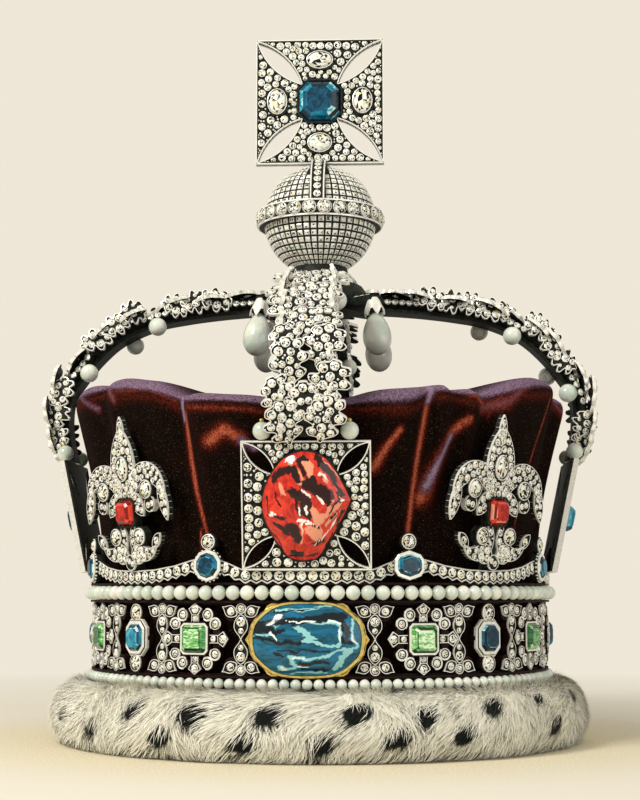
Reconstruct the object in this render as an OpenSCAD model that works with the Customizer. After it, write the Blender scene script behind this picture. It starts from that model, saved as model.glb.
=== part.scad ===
// An arched crown: a pierced circlet between two rows of pearls on a fur rim, four crosses
// and four fleurs-de-lis, four half-arches that carry an orb and a cross, and a velvet cap.
// The front faces -Y, the floor is z = 0 and the crown's axis is x = y = 0.

/* [Fur rim] */
// Bore of the rim, where the head goes in
head_d = 183; // [172:1:194]
// Width of the fur from the bore to the hair tips
fur_w = 24.5; // [20:0.5:30]
// Height of the fur at its crest
fur_h = 27; // [24:0.5:36]
// How far the crest stands above the seat of the circlet
fur_lip = 2.2; // [1:0.1:8]
// Depth of the locks of hair
lock_d = 3; // [1:0.1:3]
// Locks of hair round the rim
lock_n = 32; // [20:2:40]

/* [Velvet cap] */
// Thickness of the velvet
velvet_t = 2; // [1:0.1:3]
// Height of the highest swell above the circlet
cap_rise = 84.5; // [70:0.5:92]
// How far the cap swells beyond the circlet
cap_swell = 13.5; // [6:0.5:15]
// Depth of the deepest fold
fold_d = 5; // [1:0.1:8]

/* [Circlet] */
// Thickness of the pierced plate
plate_t = 1.8; // [1.2:0.1:2.6]
// Height of the jewelled field between the ledges
field_h = 27.2; // [22:0.2:34]
// How far the ornament stands out from the plate
relief = 1.2; // [0.6:0.1:2]
// Thickness of the ledges that hold the pearls
ledge_t = 0.8; // [0.5:0.1:1.2]

/* [Pearls] */
// Diameter of the upper pearls
pearl_up_d = 5.6; // [5:0.05:5.6]
// Pearls in the upper row
pearl_up_n = 108; // [90:1:108]
// Diameter of the lower row
pearl_low_d = 4; // [3:0.1:5]
// Diameter of the thread hole
thread_hole_d = 1; // [0.8:0.1:1.4]
// Diameter of the thread
thread_d = 0.5; // [0.3:0.1:0.6]
// Diameter of the pearls on the arches
arch_pearl_d = 8; // [6:0.2:9]
// Diameter of the pearls on the crosses
cross_pearl_d = 7; // [5:0.2:8]
// Width of a drop pearl
drop_w = 12.5; // [9:0.5:14]
// Length of a drop pearl
drop_l = 19; // [15:0.5:23]

/* [Festoon] */
// Height of the wavy strip above the upper pearls
strip_h = 4.4; // [3:0.1:6]
// Thickness of the strip
strip_t = 1.6; // [1:0.1:2.2]
// Rise of the strip from its valleys to its peaks
strip_rise = 5.3; // [3:0.1:8]

/* [Crosses] */
// Width and height of a cross
cross_s = 48.2; // [40:0.2:56]
// Thickness of a cross
cross_t = 2.2; // [1.6:0.1:3.5]
// Outward lean of the crosses in degrees
cross_lean = 12; // [6:0.5:14]
// Width of a lens opening
lens_w = 5.4; // [3:0.1:7]
// Width of the raised border
border_w = 1; // [0.6:0.1:1.6]
// Height of the raised border
border_t = 0.7; // [0.3:0.1:1.2]
// Width and height of the front cross's red stone
red_w = 30.5; // [22:0.5:34]
// Height of the red stone
red_h = 39.7; // [30:0.1:41]
// Side of the blue stones on the other crosses
blue_w = 14; // [10:0.5:22]

/* [Fleurs-de-lis] */
// Height of a fleur-de-lis
fleur_h = 61; // [50:0.5:70]
// Width of a fleur-de-lis
fleur_w = 52; // [44:0.5:60]
// Thickness of a fleur-de-lis
fleur_t = 2; // [1.4:0.1:3]
// Outward lean of the fleurs-de-lis in degrees
fleur_lean = 7; // [5:0.5:18]

/* [Arches] */
// Width of an arch over its leaves
arch_w = 28; // [20:0.5:30]
// Width of the plain strap under the leaves
strap_w = 12; // [8:0.5:14]
// Thickness of the strap
strap_t = 3.2; // [2:0.1:5]
// Height of the leaves above the strap
leaf_t = 5.4; // [2:0.1:8]
// Rise of an arch's underside from the cross to the crossing
arch_rise = 65.5; // [60:0.5:85]
// Radius of the boss where the arches cross
boss_r = 22; // [18:0.5:28]

/* [Orb and top cross] */
// Radius of the orb
orb_r = 24.6; // [18:0.2:30]
// How far the bands stand out from the orb
band_out = 2.6; // [1:0.1:4]
// Height of the level band
band_h = 7; // [4:0.2:9]
// Width of the upright band
band_w = 6; // [4:0.2:8]
// Width and height of the top cross
top_s = 57.2; // [44:0.2:64]
// Thickness of the top cross
top_t = 3; // [2:0.1:5]
// Width of the top cross's blue stone
top_stone_w = 18.5; // [14:0.5:20]

/* [Stones] */
// Width of the big front sapphire
front_stone_w = 40; // [30:0.5:41]
// Height of the big front sapphire
front_stone_h = 25.5; // [16:0.5:26]
// Width of an emerald
emerald_w = 11.5; // [8:0.5:12]
// Width of a sapphire in the circlet
sapphire_w = 10.5; // [8:0.5:12]
// Width of a fleur-de-lis stone
fleur_stone_w = 10.4; // [8:0.2:11]
// Diameter of the round diamonds
diamond_d = 5.8; // [4:0.1:6]

/* [Hidden] */

// Colours
silver = "silver";
gold = "goldenrod";
pearl_white = "ivory";
velvet = "#3a0d12";
fur_white = "#efe6d2";
ruby = "#c42a1a";
blue = "#1d6a8c";
green = "#2f8f4a";
diamond = "#e8eef0";

// Gap between pieces that sit on each other
gap = 0.2;
// Gap round a stone in its setting
stone_gap = 0.15;
// Wall of a setting
bezel_w = 0.8;
// Longer than anything that is cut through
far = 90;

// Circlet, from the bore outwards and from the fur seat upwards
bore_r = head_d / 2;
seat_z = fur_h - fur_lip;
cap_r = bore_r + velvet_t;
plate_in = cap_r + gap;
plate_out = plate_in + plate_t;
low_r = plate_out + gap + pearl_low_d / 2;
up_r = plate_out + gap + pearl_up_d / 2;
circlet_z = seat_z + gap;
low_z = circlet_z + ledge_t + gap + pearl_low_d / 2;
field_z = low_z + pearl_low_d / 2 + gap + ledge_t;
field_top = field_z + field_h;
field_mid = field_z + field_h / 2;
up_z = field_top + ledge_t + gap + pearl_up_d / 2;
rim_z = up_z + pearl_up_d / 2 + gap + ledge_t;

// Festoon and what stands behind it on the rim
strip_in = plate_out + 1.1;
strip_out = strip_in + strip_t;
strip_z = rim_z + gap;
foot_in = plate_in + 2 * gap;
foot_out = strip_in - 2 * gap;
cross_foot_w = 13;
fleur_foot_w = 7;
foot_h = 10;

// Crosses: the lower edge is just above the festoon
cross_z = strip_z + strip_h + 0.8;
cross_r = strip_in + 0.8;
cross_top_z = cross_z + cross_s * cos(cross_lean);
cross_top_r = cross_r + cross_s * sin(cross_lean);

// Fleurs-de-lis: the lowest lobe is just above the festoon
fleur_z = strip_z + strip_h + 0.4;
fleur_r = cross_r;

// Arches, from the cross's top edge to the boss
arch_foot_z = cross_top_z + 0.3 + (cross_t + border_t) * sin(cross_lean);
arch_foot_r = cross_top_r - 0.5;
arch_top_z = arch_foot_z + arch_rise;
boss_clear = boss_r + gap;
boss_h = 17.4;
orb_z = arch_top_z + boss_h + orb_r + gap;
top_z = orb_z + orb_r + 1.2 + top_s / 2;

// Stations round the crown in degrees from the front
cross_at = [0, 90, 180, 270];
fleur_at = [45, 135, 225, 315];
pillar_at = [15, 36, 54, 75];
emerald_at = [26.5, 63.5, 116.5, 153.5, 206.5, 243.5, 296.5, 333.5];
sapphire_at = [45, 90, 135, 180, 225, 270, 315];
peak_at = 22.5;

// Place a flat piece drawn in x and y, with its front along z, on the crown's side
module stand(angle, r, z, lean = 0) {
    rotate([0, 0, angle])
        translate([0, -r, z])
            rotate([90 + lean, 0, 0])
                children();
}

// Outlines of stones as distances from the centre, in equal steps of direction
function oval_reach(w, h, round_share, n) = [
    for (i = [0 : n - 1])
        let (a = 360 * i / n,
             box = w / 2 * abs(cos(a)) + h / 2 * abs(sin(a)),
             oval = sqrt(pow(w / 2 * cos(a), 2) + pow(h / 2 * sin(a), 2)))
        oval * round_share + box * (1 - round_share)
];
function grown(reach, by) = [for (d = reach) d + by];
function corner(d1, a1, d2, a2) = [
    (d1 * sin(a2) - d2 * sin(a1)) / sin(a2 - a1),
    (d2 * cos(a1) - d1 * cos(a2)) / sin(a2 - a1)
];
function outline(reach) = [
    for (i = [0 : len(reach) - 1])
        corner(reach[i], 360 * i / len(reach),
               reach[(i + 1) % len(reach)], 360 * (i + 1) / len(reach))
];

// Facets of a cut stone, as shares of the reach and of the crown or pavilion
CULET = 0.4;
GIRDLE_LOW = 0.15;
GIRDLE_TOP = 0.12;
STEP_REACH = 0.86;
STEP_RISE = 0.62;
TABLE = 0.62;

// A cut stone with a table, lying on z = 0
module cut_stone(reach, crown, pavilion) {
    n = len(reach);
    translate([0, 0, pavilion])
        intersection_for (i = [0 : n - 1])
            rotate([0, 0, 360 * i / n])
                rotate([90, 0, 0])
                    linear_extrude(2 * far, center = true)
                        polygon([
                            [-far, -pavilion],
                            [reach[i] * CULET, -pavilion],
                            [reach[i], -pavilion * GIRDLE_LOW],
                            [reach[i], crown * GIRDLE_TOP],
                            [reach[i] * STEP_REACH, crown * STEP_RISE],
                            [reach[i] * TABLE, crown],
                            [-far, crown]
                        ]);
}

// A plate with a raised wall round a stone
module setting(reach, floor_t, wall_t) {
    difference() {
        linear_extrude(floor_t + wall_t)
            polygon(outline(grown(reach, stone_gap + bezel_w)));
        translate([0, 0, floor_t])
            linear_extrude(wall_t + 1)
                polygon(outline(grown(reach, stone_gap)));
    }
}

// A pointed lens drawn along x
module lens(l, w) {
    r = (l * l + w * w) / (4 * w);
    intersection() {
        translate([0, r - w / 2]) circle(r, $fn = 96);
        translate([0, w / 2 - r]) circle(r, $fn = 96);
    }
}

// Fur rim
// Cross-section of the fur: shares of its width and height, and of the locks
FUR_ROWS = [
    [-0.10, 0.00, 0.0], [0.62, 0.00, 0.0], [0.90, 0.12, 0.7], [1.00, 0.33, 1.0],
    [0.98, 0.56, 1.0], [0.88, 0.78, 1.0], [0.72, 0.93, 0.9], [0.52, 1.00, 0.6],
    [0.34, 0.96, 0.2], [-0.10, 0.90, 0.0]
];
FUR_OUT = 0;
FUR_UP = 1;
FUR_LOCK = 2;
LOCK_STEPS = 3;
fur_n = lock_n * LOCK_STEPS;

function fur_point(i, k) =
    let (row = FUR_ROWS[k],
         a = 360 * i / fur_n,
         wave = (1 + cos(lock_n * a + 150 * k)) / 2,
         dent = lock_d * row[FUR_LOCK] * wave,
         r = bore_r + (fur_w - lock_d) * row[FUR_OUT] + lock_d * row[FUR_LOCK] - dent,
         z = fur_h * row[FUR_UP] - dent * row[FUR_UP] * 0.4)
    [r * sin(a), -r * cos(a), z];

module ermine() {
    rows = len(FUR_ROWS);
    color(fur_white)
        difference() {
            polyhedron(
                points = [for (k = [0 : rows - 1], i = [0 : fur_n - 1]) fur_point(i, k)],
                faces = [
                    for (k = [0 : rows - 1], i = [0 : fur_n - 1], side = [0, 1])
                        let (j = (i + 1) % fur_n,
                             m = (k + 1) % rows,
                             p = k * fur_n + i, q = k * fur_n + j,
                             s = m * fur_n + j, t = m * fur_n + i)
                        side == 0 ? [p, s, q] : [p, t, s]
                ]
            );
            translate([0, 0, -1])
                cylinder(h = fur_h + 2, r = bore_r, $fn = 180);
            translate([0, 0, seat_z])
                cylinder(h = fur_h, r = max(low_r, plate_out) + pearl_low_d / 2 + gap, $fn = 180);
        }
}

// Velvet cap
// Sections from the hem to the middle of the top: share of the circlet's radius, of the
// swell, of the rise and of the folds
CAP_ROWS = [
    [1.00, 0.00, 0.000, 0.00], [1.00, 0.04, 0.130, 0.10], [1.00, 0.15, 0.290, 0.35],
    [1.00, 0.36, 0.480, 0.65], [1.00, 0.62, 0.660, 0.90], [1.00, 0.86, 0.820, 1.00],
    [1.00, 0.99, 0.920, 1.00], [0.99, 1.00, 0.965, 0.95], [0.96, 0.98, 0.993, 0.85],
    [0.91, 0.94, 1.000, 0.75], [0.82, 0.85, 0.995, 0.65], [0.68, 0.70, 0.980, 0.55],
    [0.48, 0.50, 0.965, 0.45], [0.26, 0.30, 0.955, 0.30], [0.08, 0.10, 0.950, 0.00]
];
CAP_REACH = 0;
CAP_SWELL = 1;
CAP_RISE = 2;
CAP_FOLD = 3;
// Height of the shoulder round the cap: degrees from the front, share of the rise
SHOULDER = [
    [-180, 0.84], [-168, 0.87], [-155, 0.95], [-140, 0.93], [-124, 0.99], [-110, 0.96],
    [-98, 0.92], [-88, 0.91], [-80, 0.93], [-70, 0.97], [-60, 0.985], [-48, 0.97],
    [-36, 0.93], [-29, 0.87], [-18, 0.855], [-6, 0.83], [6, 0.82], [15, 0.85],
    [23, 0.865], [29, 0.925], [33, 0.90], [37, 0.92], [43, 0.895], [52, 0.955],
    [62, 1.00], [70, 1.00], [78, 0.95], [88, 0.91], [98, 0.93], [110, 0.98],
    [126, 0.95], [140, 0.99], [154, 0.92], [168, 0.86], [180, 0.84]
];
// Folds: degrees at the shoulder, degrees at the circlet, width in degrees, share of the depth
FOLDS = [
    [-31, -24, 4.0, 1.0], [28, 24, 3.5, 0.7], [36, 33, 4.0, 0.8], [45, 38, 5.0, 0.9],
    [-60, -55, 5.0, 0.6], [76, 70, 4.5, 0.8], [-8, -9, 4.0, 0.4], [9, 10, 4.0, 0.4],
    [-84, -80, 6.0, 0.7], [97, 93, 5.0, 0.8], [118, 112, 5.0, 0.9], [133, 136, 5.0, 0.7],
    [150, 146, 5.0, 0.9], [171, 168, 5.0, 0.5], [-104, -100, 5.0, 0.8], [-118, -121, 5.0, 0.7],
    [-136, -131, 5.0, 0.9], [-154, -157, 5.0, 0.7], [-172, -170, 4.0, 0.5]
];
FOLD_TOP = 0;
FOLD_BASE = 1;
FOLD_WIDTH = 2;
FOLD_DEPTH = 3;
cap_n = 80;

function turn(a) = a > 180 ? a - 360 : (a < -180 ? a + 360 : a);
function fold_at(a, up) = max([
    for (f = FOLDS)
        let (off = turn(a - f[FOLD_BASE] - (f[FOLD_TOP] - f[FOLD_BASE]) * up))
        f[FOLD_DEPTH] * exp(-pow(off / f[FOLD_WIDTH], 2))
]);
// The cap gives way under the four arches
function under_arch(a) = pow(cos(2 * a), 2) > 0.5 && cos(4 * a) > 0 ? pow(cos(4 * a), 2) : 0;
// The cap swells less behind the four fleurs-de-lis
BEHIND_FLEUR = 0.35;
function freely(a) = 1 - BEHIND_FLEUR * pow(sin(2 * a), 4);

function cap_row(k) = CAP_ROWS[min(k, len(CAP_ROWS) - 1)];
// How far the wall turns over, from 0 on the side to 90 degrees on the top
function cap_tilt(k) = k < 5 ? 5 : (k > 10 ? 90 : [15, 30, 48, 66, 80, 88][k - 5]);

function cap_point(a, k, inset) =
    let (row = cap_row(k),
         top = k >= len(CAP_ROWS),
         fold = fold_at(a, min(1, row[CAP_RISE])) * row[CAP_FOLD] * fold_d,
         r_full = top ? 0 : cap_r * row[CAP_REACH] + cap_swell * row[CAP_SWELL] * freely(a)
             - fold * row[CAP_REACH] - 2 * under_arch(a) * row[CAP_FOLD] * row[CAP_REACH],
         r = top ? 0 : max(r_full - inset * cos(cap_tilt(k)), 0.5),
         height = mix(lookup(a, SHOULDER), 0.9, row[CAP_REACH]),
         z = rim_z + cap_rise * row[CAP_RISE] * height
             - (k > 7 ? fold * 0.5 : 0) - inset * sin(cap_tilt(k)))
    [r * sin(a), -r * cos(a), z];
function mix(edge, middle, share) = edge * share + middle * (1 - share);
function hem_point(a, inset) =
    [(cap_r - inset) * sin(a), -(cap_r - inset) * cos(a), circlet_z];

module cap() {
    rows = len(CAP_ROWS);
    angles = [for (i = [0 : cap_n - 1]) turn(360 * i / cap_n)];
    skin = function (inset) concat(
        [for (a = angles) hem_point(a, inset)],
        [for (k = [0 : rows - 1], a = angles) cap_point(a, k, inset)],
        [cap_point(0, rows, inset)]
    );
    count = (rows + 1) * cap_n + 1;
    middle = count - 1;
    color(velvet)
        polyhedron(
            points = concat(skin(0), skin(velvet_t)),
            faces = concat(
                [for (k = [0 : rows - 1], i = [0 : cap_n - 1], side = [0, 1])
                    let (p = k * cap_n + i, q = k * cap_n + (i + 1) % cap_n)
                    side == 0 ? [p, p + cap_n, q + cap_n] : [p, q + cap_n, q]],
                [for (k = [0 : rows - 1], i = [0 : cap_n - 1], side = [0, 1])
                    let (p = count + k * cap_n + i, q = count + k * cap_n + (i + 1) % cap_n)
                    side == 0 ? [p, q + cap_n, p + cap_n] : [p, q, q + cap_n]],
                [for (i = [0 : cap_n - 1])
                    [rows * cap_n + i, middle, rows * cap_n + (i + 1) % cap_n]],
                [for (i = [0 : cap_n - 1])
                    [count + rows * cap_n + i, count + rows * cap_n + (i + 1) % cap_n,
                     count + middle]],
                [for (i = [0 : cap_n - 1], side = [0, 1])
                    let (p = i, q = (i + 1) % cap_n)
                    side == 0 ? [p, q, count + q] : [p, count + q, count + p]]
            )
        );
}

// Circlet
front_reach = oval_reach(front_stone_w, front_stone_h, 0.9, 12);
emerald_reach = oval_reach(emerald_w, emerald_w * 0.96, 0.35, 8);
sapphire_reach = oval_reach(sapphire_w, sapphire_w * 1.08, 0.75, 8);
// The round diamonds fill the field above and below a stone
column_d = field_h / 2 - sapphire_w * 0.54 - 2 * (bezel_w + stone_gap) - gap;
diamond_reach = oval_reach(column_d, column_d, 1, 8);
setting_wall = 1.1;

// Half of an hourglass of a trefoil over a drop
module pillar_half() {
    lobe_r = field_h * 0.105;
    for (x = [-1, 0, 1])
        translate([x * lobe_r * 1.35, field_h * (x == 0 ? 0.43 : 0.35)])
            circle(lobe_r, $fn = 24);
    translate([0, field_h * 0.17]) circle(lobe_r * 0.95, $fn = 24);
    polygon([
        [-lobe_r * 0.8, field_h * 0.17], [lobe_r * 0.8, field_h * 0.17],
        [lobe_r * 0.35, -0.2], [-lobe_r * 0.35, -0.2]
    ]);
    translate([0, field_h * 0.29]) square([lobe_r, field_h * 0.16], center = true);
    translate([0, field_h * 0.49]) square([lobe_r * 1.6, field_h * 0.05], center = true);
}
module pillar_shape() {
    pillar_half();
    mirror([0, 1]) pillar_half();
}

// Scrolls and pointed tips round a square stone
module cluster_shape() {
    arm = field_h / 2;
    for (turn_by = [0 : 90 : 270]) rotate(turn_by) {
        translate([arm * 0.86, 0]) rotate(45) square(arm * 0.24, center = true);
        translate([arm * 0.43, 0]) square([arm * 0.86, arm * 0.18], center = true);
        translate([arm * 0.97, 0]) square([arm * 0.1, arm * 0.14], center = true);
        for (side = [-1, 1]) {
            translate([arm * 0.70, side * arm * 0.17]) circle(arm * 0.12, $fn = 24);
            translate([arm * 0.63, side * arm * 0.43])
                difference() {
                    circle(arm * 0.19, $fn = 24);
                    circle(arm * 0.08, $fn = 24);
                }
        }
    }
    square(emerald_w + 2 * (stone_gap + bezel_w), center = true);
}

// Round diamonds above and below an octagonal stone
module column_shape() {
    circle(sapphire_w * 0.68, $fn = 8);
    for (side = [-1, 1]) {
        translate([0, side * diamond_up()]) circle(column_d / 2 + bezel_w + stone_gap, $fn = 32);
        translate([0, side * field_h * 0.485]) square([column_d * 0.5, field_h * 0.06], center = true);
        translate([0, side * field_h * 0.18]) square([column_d * 0.7, field_h * 0.36], center = true);
    }
}
function diamond_up() = field_h / 2 - column_d / 2 - bezel_w - stone_gap;

// Flat ornaments, each square to its own station
ornament_in = plate_in + 0.3;
module ornament() {
    r = ornament_in;
    deep = stone_floor - ornament_in;
    for (quarter = [0, 180], a = pillar_at, side = [-1, 1])
        stand(quarter + side * a, r, field_mid) linear_extrude(deep) pillar_shape();
    for (a = emerald_at)
        stand(a, r, field_mid) linear_extrude(deep) cluster_shape();
    for (a = [90, 180, 270])
        stand(a, r, field_mid) linear_extrude(deep) cluster_shape();
    for (a = fleur_at)
        stand(a, r, field_mid) linear_extrude(deep) column_shape();
}

// A plate with a long hexagon outline behind the big sapphire
hex_w = front_stone_w + 6.6;
module front_frame() {
    frame = grown(front_reach, stone_gap + bezel_w * 1.6);
    flat = field_h / 2 - 0.1;
    hexagon = [
        [hex_w / 2, 0], [hex_w * 0.31, flat], [-hex_w * 0.31, flat],
        [-hex_w / 2, 0], [-hex_w * 0.31, -flat], [hex_w * 0.31, -flat]
    ];
    difference() {
        stand(0, plate_in - 2, field_mid)
            linear_extrude(plate_t + relief + 2)
                polygon(hexagon);
        cylinder(h = 3 * far, r = plate_in, $fn = 180, center = true);
    }
    stand(0, plate_out + relief - 0.3, field_mid)
        difference() {
            linear_extrude(setting_wall + 0.9)
                polygon(outline(frame));
            translate([0, 0, 0.5])
                linear_extrude(setting_wall + 1)
                    polygon(outline(grown(front_reach, stone_gap)));
        }
}
front_stone_r = plate_out + relief + 0.2 + gap / 2;

// How far out a circlet stone's floor is
stone_floor = plate_out + relief;

module circlet() {
    color(silver) {
        rotate_extrude($fn = 180)
            polygon([
                [plate_in, circlet_z], [low_r, circlet_z], [low_r, circlet_z + ledge_t],
                [plate_out, circlet_z + ledge_t], [plate_out, field_z - ledge_t],
                [low_r, field_z - ledge_t], [low_r, field_z], [plate_out, field_z],
                [plate_out, field_z + 0.8], [plate_in, field_z + 0.8]
            ]);
        rotate_extrude($fn = 180)
            polygon([
                [plate_in, field_top - 0.8], [plate_out, field_top - 0.8],
                [plate_out, field_top], [up_r, field_top], [up_r, field_top + ledge_t],
                [plate_out, field_top + ledge_t], [plate_out, rim_z - ledge_t],
                [up_r, rim_z - ledge_t], [up_r, rim_z], [plate_in, rim_z]
            ]);
        ornament();
        for (a = emerald_at)
            stand(a, stone_floor - 1.2, field_mid) setting(emerald_reach, 1.2, setting_wall);
        for (a = sapphire_at)
            stand(a, stone_floor - 1.2, field_mid) setting(sapphire_reach, 1.2, setting_wall);
        for (a = fleur_at, side = [-1, 1])
            stand(a, stone_floor - 1.2, field_mid + side * diamond_up())
                setting(diamond_reach, 1.2, 0.5);
        front_frame();
    }
}

// Rows of pearls
module drilled_pearl() {
    rotate([0, 90, 0])
        difference() {
            sphere(d = pearl_up_d, $fn = 32);
            cylinder(h = 2 * pearl_up_d, d = thread_hole_d, center = true, $fn = 24);
        }
}
module pearls_upper() {
    color(pearl_white)
        for (i = [0 : pearl_up_n - 1])
            rotate([0, 0, 360 * i / pearl_up_n])
                translate([0, -up_r, up_z])
                    drilled_pearl();
}
module thread_upper() {
    color(gold)
        translate([0, 0, up_z])
            rotate_extrude($fn = 180)
                translate([up_r, 0])
                    circle(d = thread_d, $fn = 16);
}
// The finest row of pearls, as one ring
module pearls_lower() {
    color(pearl_white)
        translate([0, 0, low_z])
            rotate_extrude($fn = 180)
                translate([low_r, 0])
                    circle(d = pearl_low_d, $fn = 32);
}

// Festoon
// Middle of the strip: degrees from a cross, share of the rise
STRIP = [
    [0, 0.00], [14.5, 0.05], [18, 0.52], [22.5, 1.00], [27, 0.74], [32, 0.34],
    [38, 0.08], [45, 0.00]
];
// Stones at the peaks: degrees from the front, width, height, share of roundness
PEAK_STONES = [
    [22.5, 10.6, 8.2, 0.75], [67.5, 7.8, 9.8, 1], [112.5, 7.8, 9.8, 1], [157.5, 10, 10, 1],
    [202.5, 10.6, 8.2, 0.75], [247.5, 7.8, 9.8, 1], [292.5, 7.8, 9.8, 1], [337.5, 10, 10, 1]
];
PEAK_AT = 0;
PEAK_W = 1;
PEAK_H = 2;
PEAK_ROUND = 3;
strip_n = 144;
peak_z = strip_z + 0.3 + 5 + stone_gap + bezel_w;
peak_diamond_d = 4.8;
peak_diamond_z = peak_z + 5 + 2 * (bezel_w + stone_gap) + peak_diamond_d / 2 - 0.3;
peak_floor = strip_out + 0.6;

function strip_mid(a) =
    let (near = abs(a - 90 * round(a / 90)))
    strip_z + strip_h / 2 + strip_rise * lookup(near, STRIP);
function peak_reach(p) = oval_reach(p[PEAK_W], p[PEAK_H], p[PEAK_ROUND], 10);
peak_diamond_reach = oval_reach(peak_diamond_d, peak_diamond_d, 1, 8);

module festoon() {
    color(silver) {
        polyhedron(
            points = [
                for (i = [0 : strip_n - 1], k = [0 : 3])
                    let (a = 360 * i / strip_n,
                         r = (k == 0 || k == 3) ? strip_in : strip_out,
                         z = strip_mid(a) + (k < 2 ? -strip_h / 2 : strip_h / 2))
                    [r * sin(a), -r * cos(a), z]
            ],
            faces = [
                for (i = [0 : strip_n - 1], k = [0 : 3], side = [0, 1])
                    let (j = (i + 1) % strip_n,
                         m = (k + 1) % 4,
                         p = 4 * i + k, q = 4 * j + k,
                         s = 4 * j + m, t = 4 * i + m)
                    side == 0 ? [p, s, q] : [p, t, s]
            ]
        );
        for (p = PEAK_STONES) {
            stand(p[PEAK_AT], strip_in + 0.4, peak_z)
                setting(peak_reach(p), peak_floor - strip_in - 0.4, 1);
            stand(p[PEAK_AT], strip_in + 0.4, peak_diamond_z)
                setting(peak_diamond_reach, peak_floor - strip_in - 0.4, 0.6);
        }
    }
}
module festoon_stones() {
    color(blue)
        for (p = PEAK_STONES)
            stand(p[PEAK_AT], peak_floor + gap / 2, peak_z)
                cut_stone(peak_reach(p), 2, 0.8);
    color(diamond)
        for (p = PEAK_STONES)
            stand(p[PEAK_AT], peak_floor + gap / 2, peak_diamond_z)
                cut_stone(peak_diamond_reach, 1, 0.5);
}

// Crosses
// A square cross whose arms are parted by lens openings
module cross_plate(s, t, lens_in, lens_width) {
    lens_l = s / sqrt(2) - border_w - lens_in;
    lens_mid = lens_in + lens_l / 2;
    difference() {
        union() {
            translate([-s / 2, -s / 2, 0]) cube([s, s, t]);
            linear_extrude(t + border_t)
                difference() {
                    square(s, center = true);
                    square(s - 2 * border_w, center = true);
                }
            // The border of each lens is a little lower and ends just inside the corner
            for (a = [45 : 90 : 315])
                rotate(a) translate([lens_mid, 0])
                    linear_extrude(t + border_t - 0.1)
                        lens(lens_l + 1.4 * border_w, lens_width + 2 * border_w);
        }
        for (a = [45 : 90 : 315])
            rotate(a) translate([lens_mid, 0, -1])
                linear_extrude(t + border_t + 2) lens(lens_l, lens_width);
    }
}

// The foot that carries a leaning piece: up from the rim behind the festoon
module foot(angle, r, z, lean, width) {
    rotate([0, 0, angle])
        rotate([90, 0, -90])
            linear_extrude(width, center = true)
                polygon([
                    [foot_in, rim_z + gap], [foot_out, rim_z + gap], [foot_out, z],
                    [r + tan(lean) + 0.8, z + 1],
                    [r + foot_h * tan(lean) + 0.8, z + foot_h],
                    [r + foot_h * tan(lean) - 0.6, z + foot_h]
                ]);
}

// The red stone: distances from its centre as shares of its half width and half height
RED_REACH = [1.09, 1.02, 1.06, 1.08, 1.08, 1.07, 1.09, 1.03, 1.10, 1.09, 1.03, 0.89];
red_reach = [
    for (i = [0 : len(RED_REACH) - 1])
        let (a = 360 * i / len(RED_REACH))
        RED_REACH[i] * 0.93 * sqrt(pow(red_w / 2 * cos(a), 2) + pow(red_h / 2 * sin(a), 2))
];
blue_reach = oval_reach(blue_w, blue_w * 0.9, 0.6, 8);
red_crown = 5;
blue_crown = 4;
red_lens = 16.5;
blue_lens = 12;
cross_mid = cross_s / 2;
red_shift = 0;
cross_wall = 1.4;

module cross_piece(angle, reach, shift, lens_in) {
    foot(angle, cross_r, cross_z, cross_lean, cross_foot_w);
    stand(angle, cross_r, cross_z, cross_lean)
        translate([0, cross_mid, 0]) {
            cross_plate(cross_s, cross_t, lens_in, lens_w);
            translate([0, shift, 0.2]) setting(reach, cross_t, cross_wall);
        }
}
module cross_front() { color(silver) cross_piece(cross_at[0], red_reach, red_shift, red_lens); }
module cross_right() { color(silver) cross_piece(cross_at[1], blue_reach, 0, blue_lens); }
module cross_back() { color(silver) cross_piece(cross_at[2], blue_reach, 0, blue_lens); }
module cross_left() { color(silver) cross_piece(cross_at[3], blue_reach, 0, blue_lens); }

module cross_stone(angle, reach, shift, crown) {
    stand(angle, cross_r, cross_z, cross_lean)
        translate([0, cross_mid + shift, cross_t + 0.2 + gap / 2])
            cut_stone(reach, crown, 1.4);
}
module stone_front() { color(ruby) cross_stone(cross_at[0], red_reach, red_shift, red_crown); }
module stone_right() { color(blue) cross_stone(cross_at[1], blue_reach, 0, blue_crown); }
module stone_back() { color(blue) cross_stone(cross_at[2], blue_reach, 0, blue_crown); }
module stone_left() { color(blue) cross_stone(cross_at[3], blue_reach, 0, blue_crown); }

// Pearls on the top corners of the crosses
module cross_pearls() {
    pearl_x = arch_w / 2 * FOOT_WIDTH + gap + 0.6 + cross_pearl_d / 2;
    color(pearl_white)
        for (a = cross_at, side = [-1, 1])
            stand(a, cross_r, cross_z, cross_lean)
                translate([side * pearl_x, cross_s + gap + cross_pearl_d / 2, cross_t / 2])
                    sphere(d = cross_pearl_d, $fn = 48);
}

// Fleurs-de-lis
fleur_reach = oval_reach(fleur_stone_w, fleur_stone_w * 0.95, 0.5, 8);
fleur_stone_up = 0.375;
// Round diamonds on one side: share of half the width, of the height, of the diamond's size
FLEUR_ROUNDS = [[0.55, 0.52, 1.1], [0.30, 0.22, 1.0]];
drop_diamond_w = 6.4;
drop_diamond_h = 9;
drop_diamond_up = 0.66;
drop_reach = oval_reach(drop_diamond_w, drop_diamond_h, 1, 8);
function fleur_round(size) = oval_reach(diamond_d * size, diamond_d * size, 1, 8);

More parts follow.
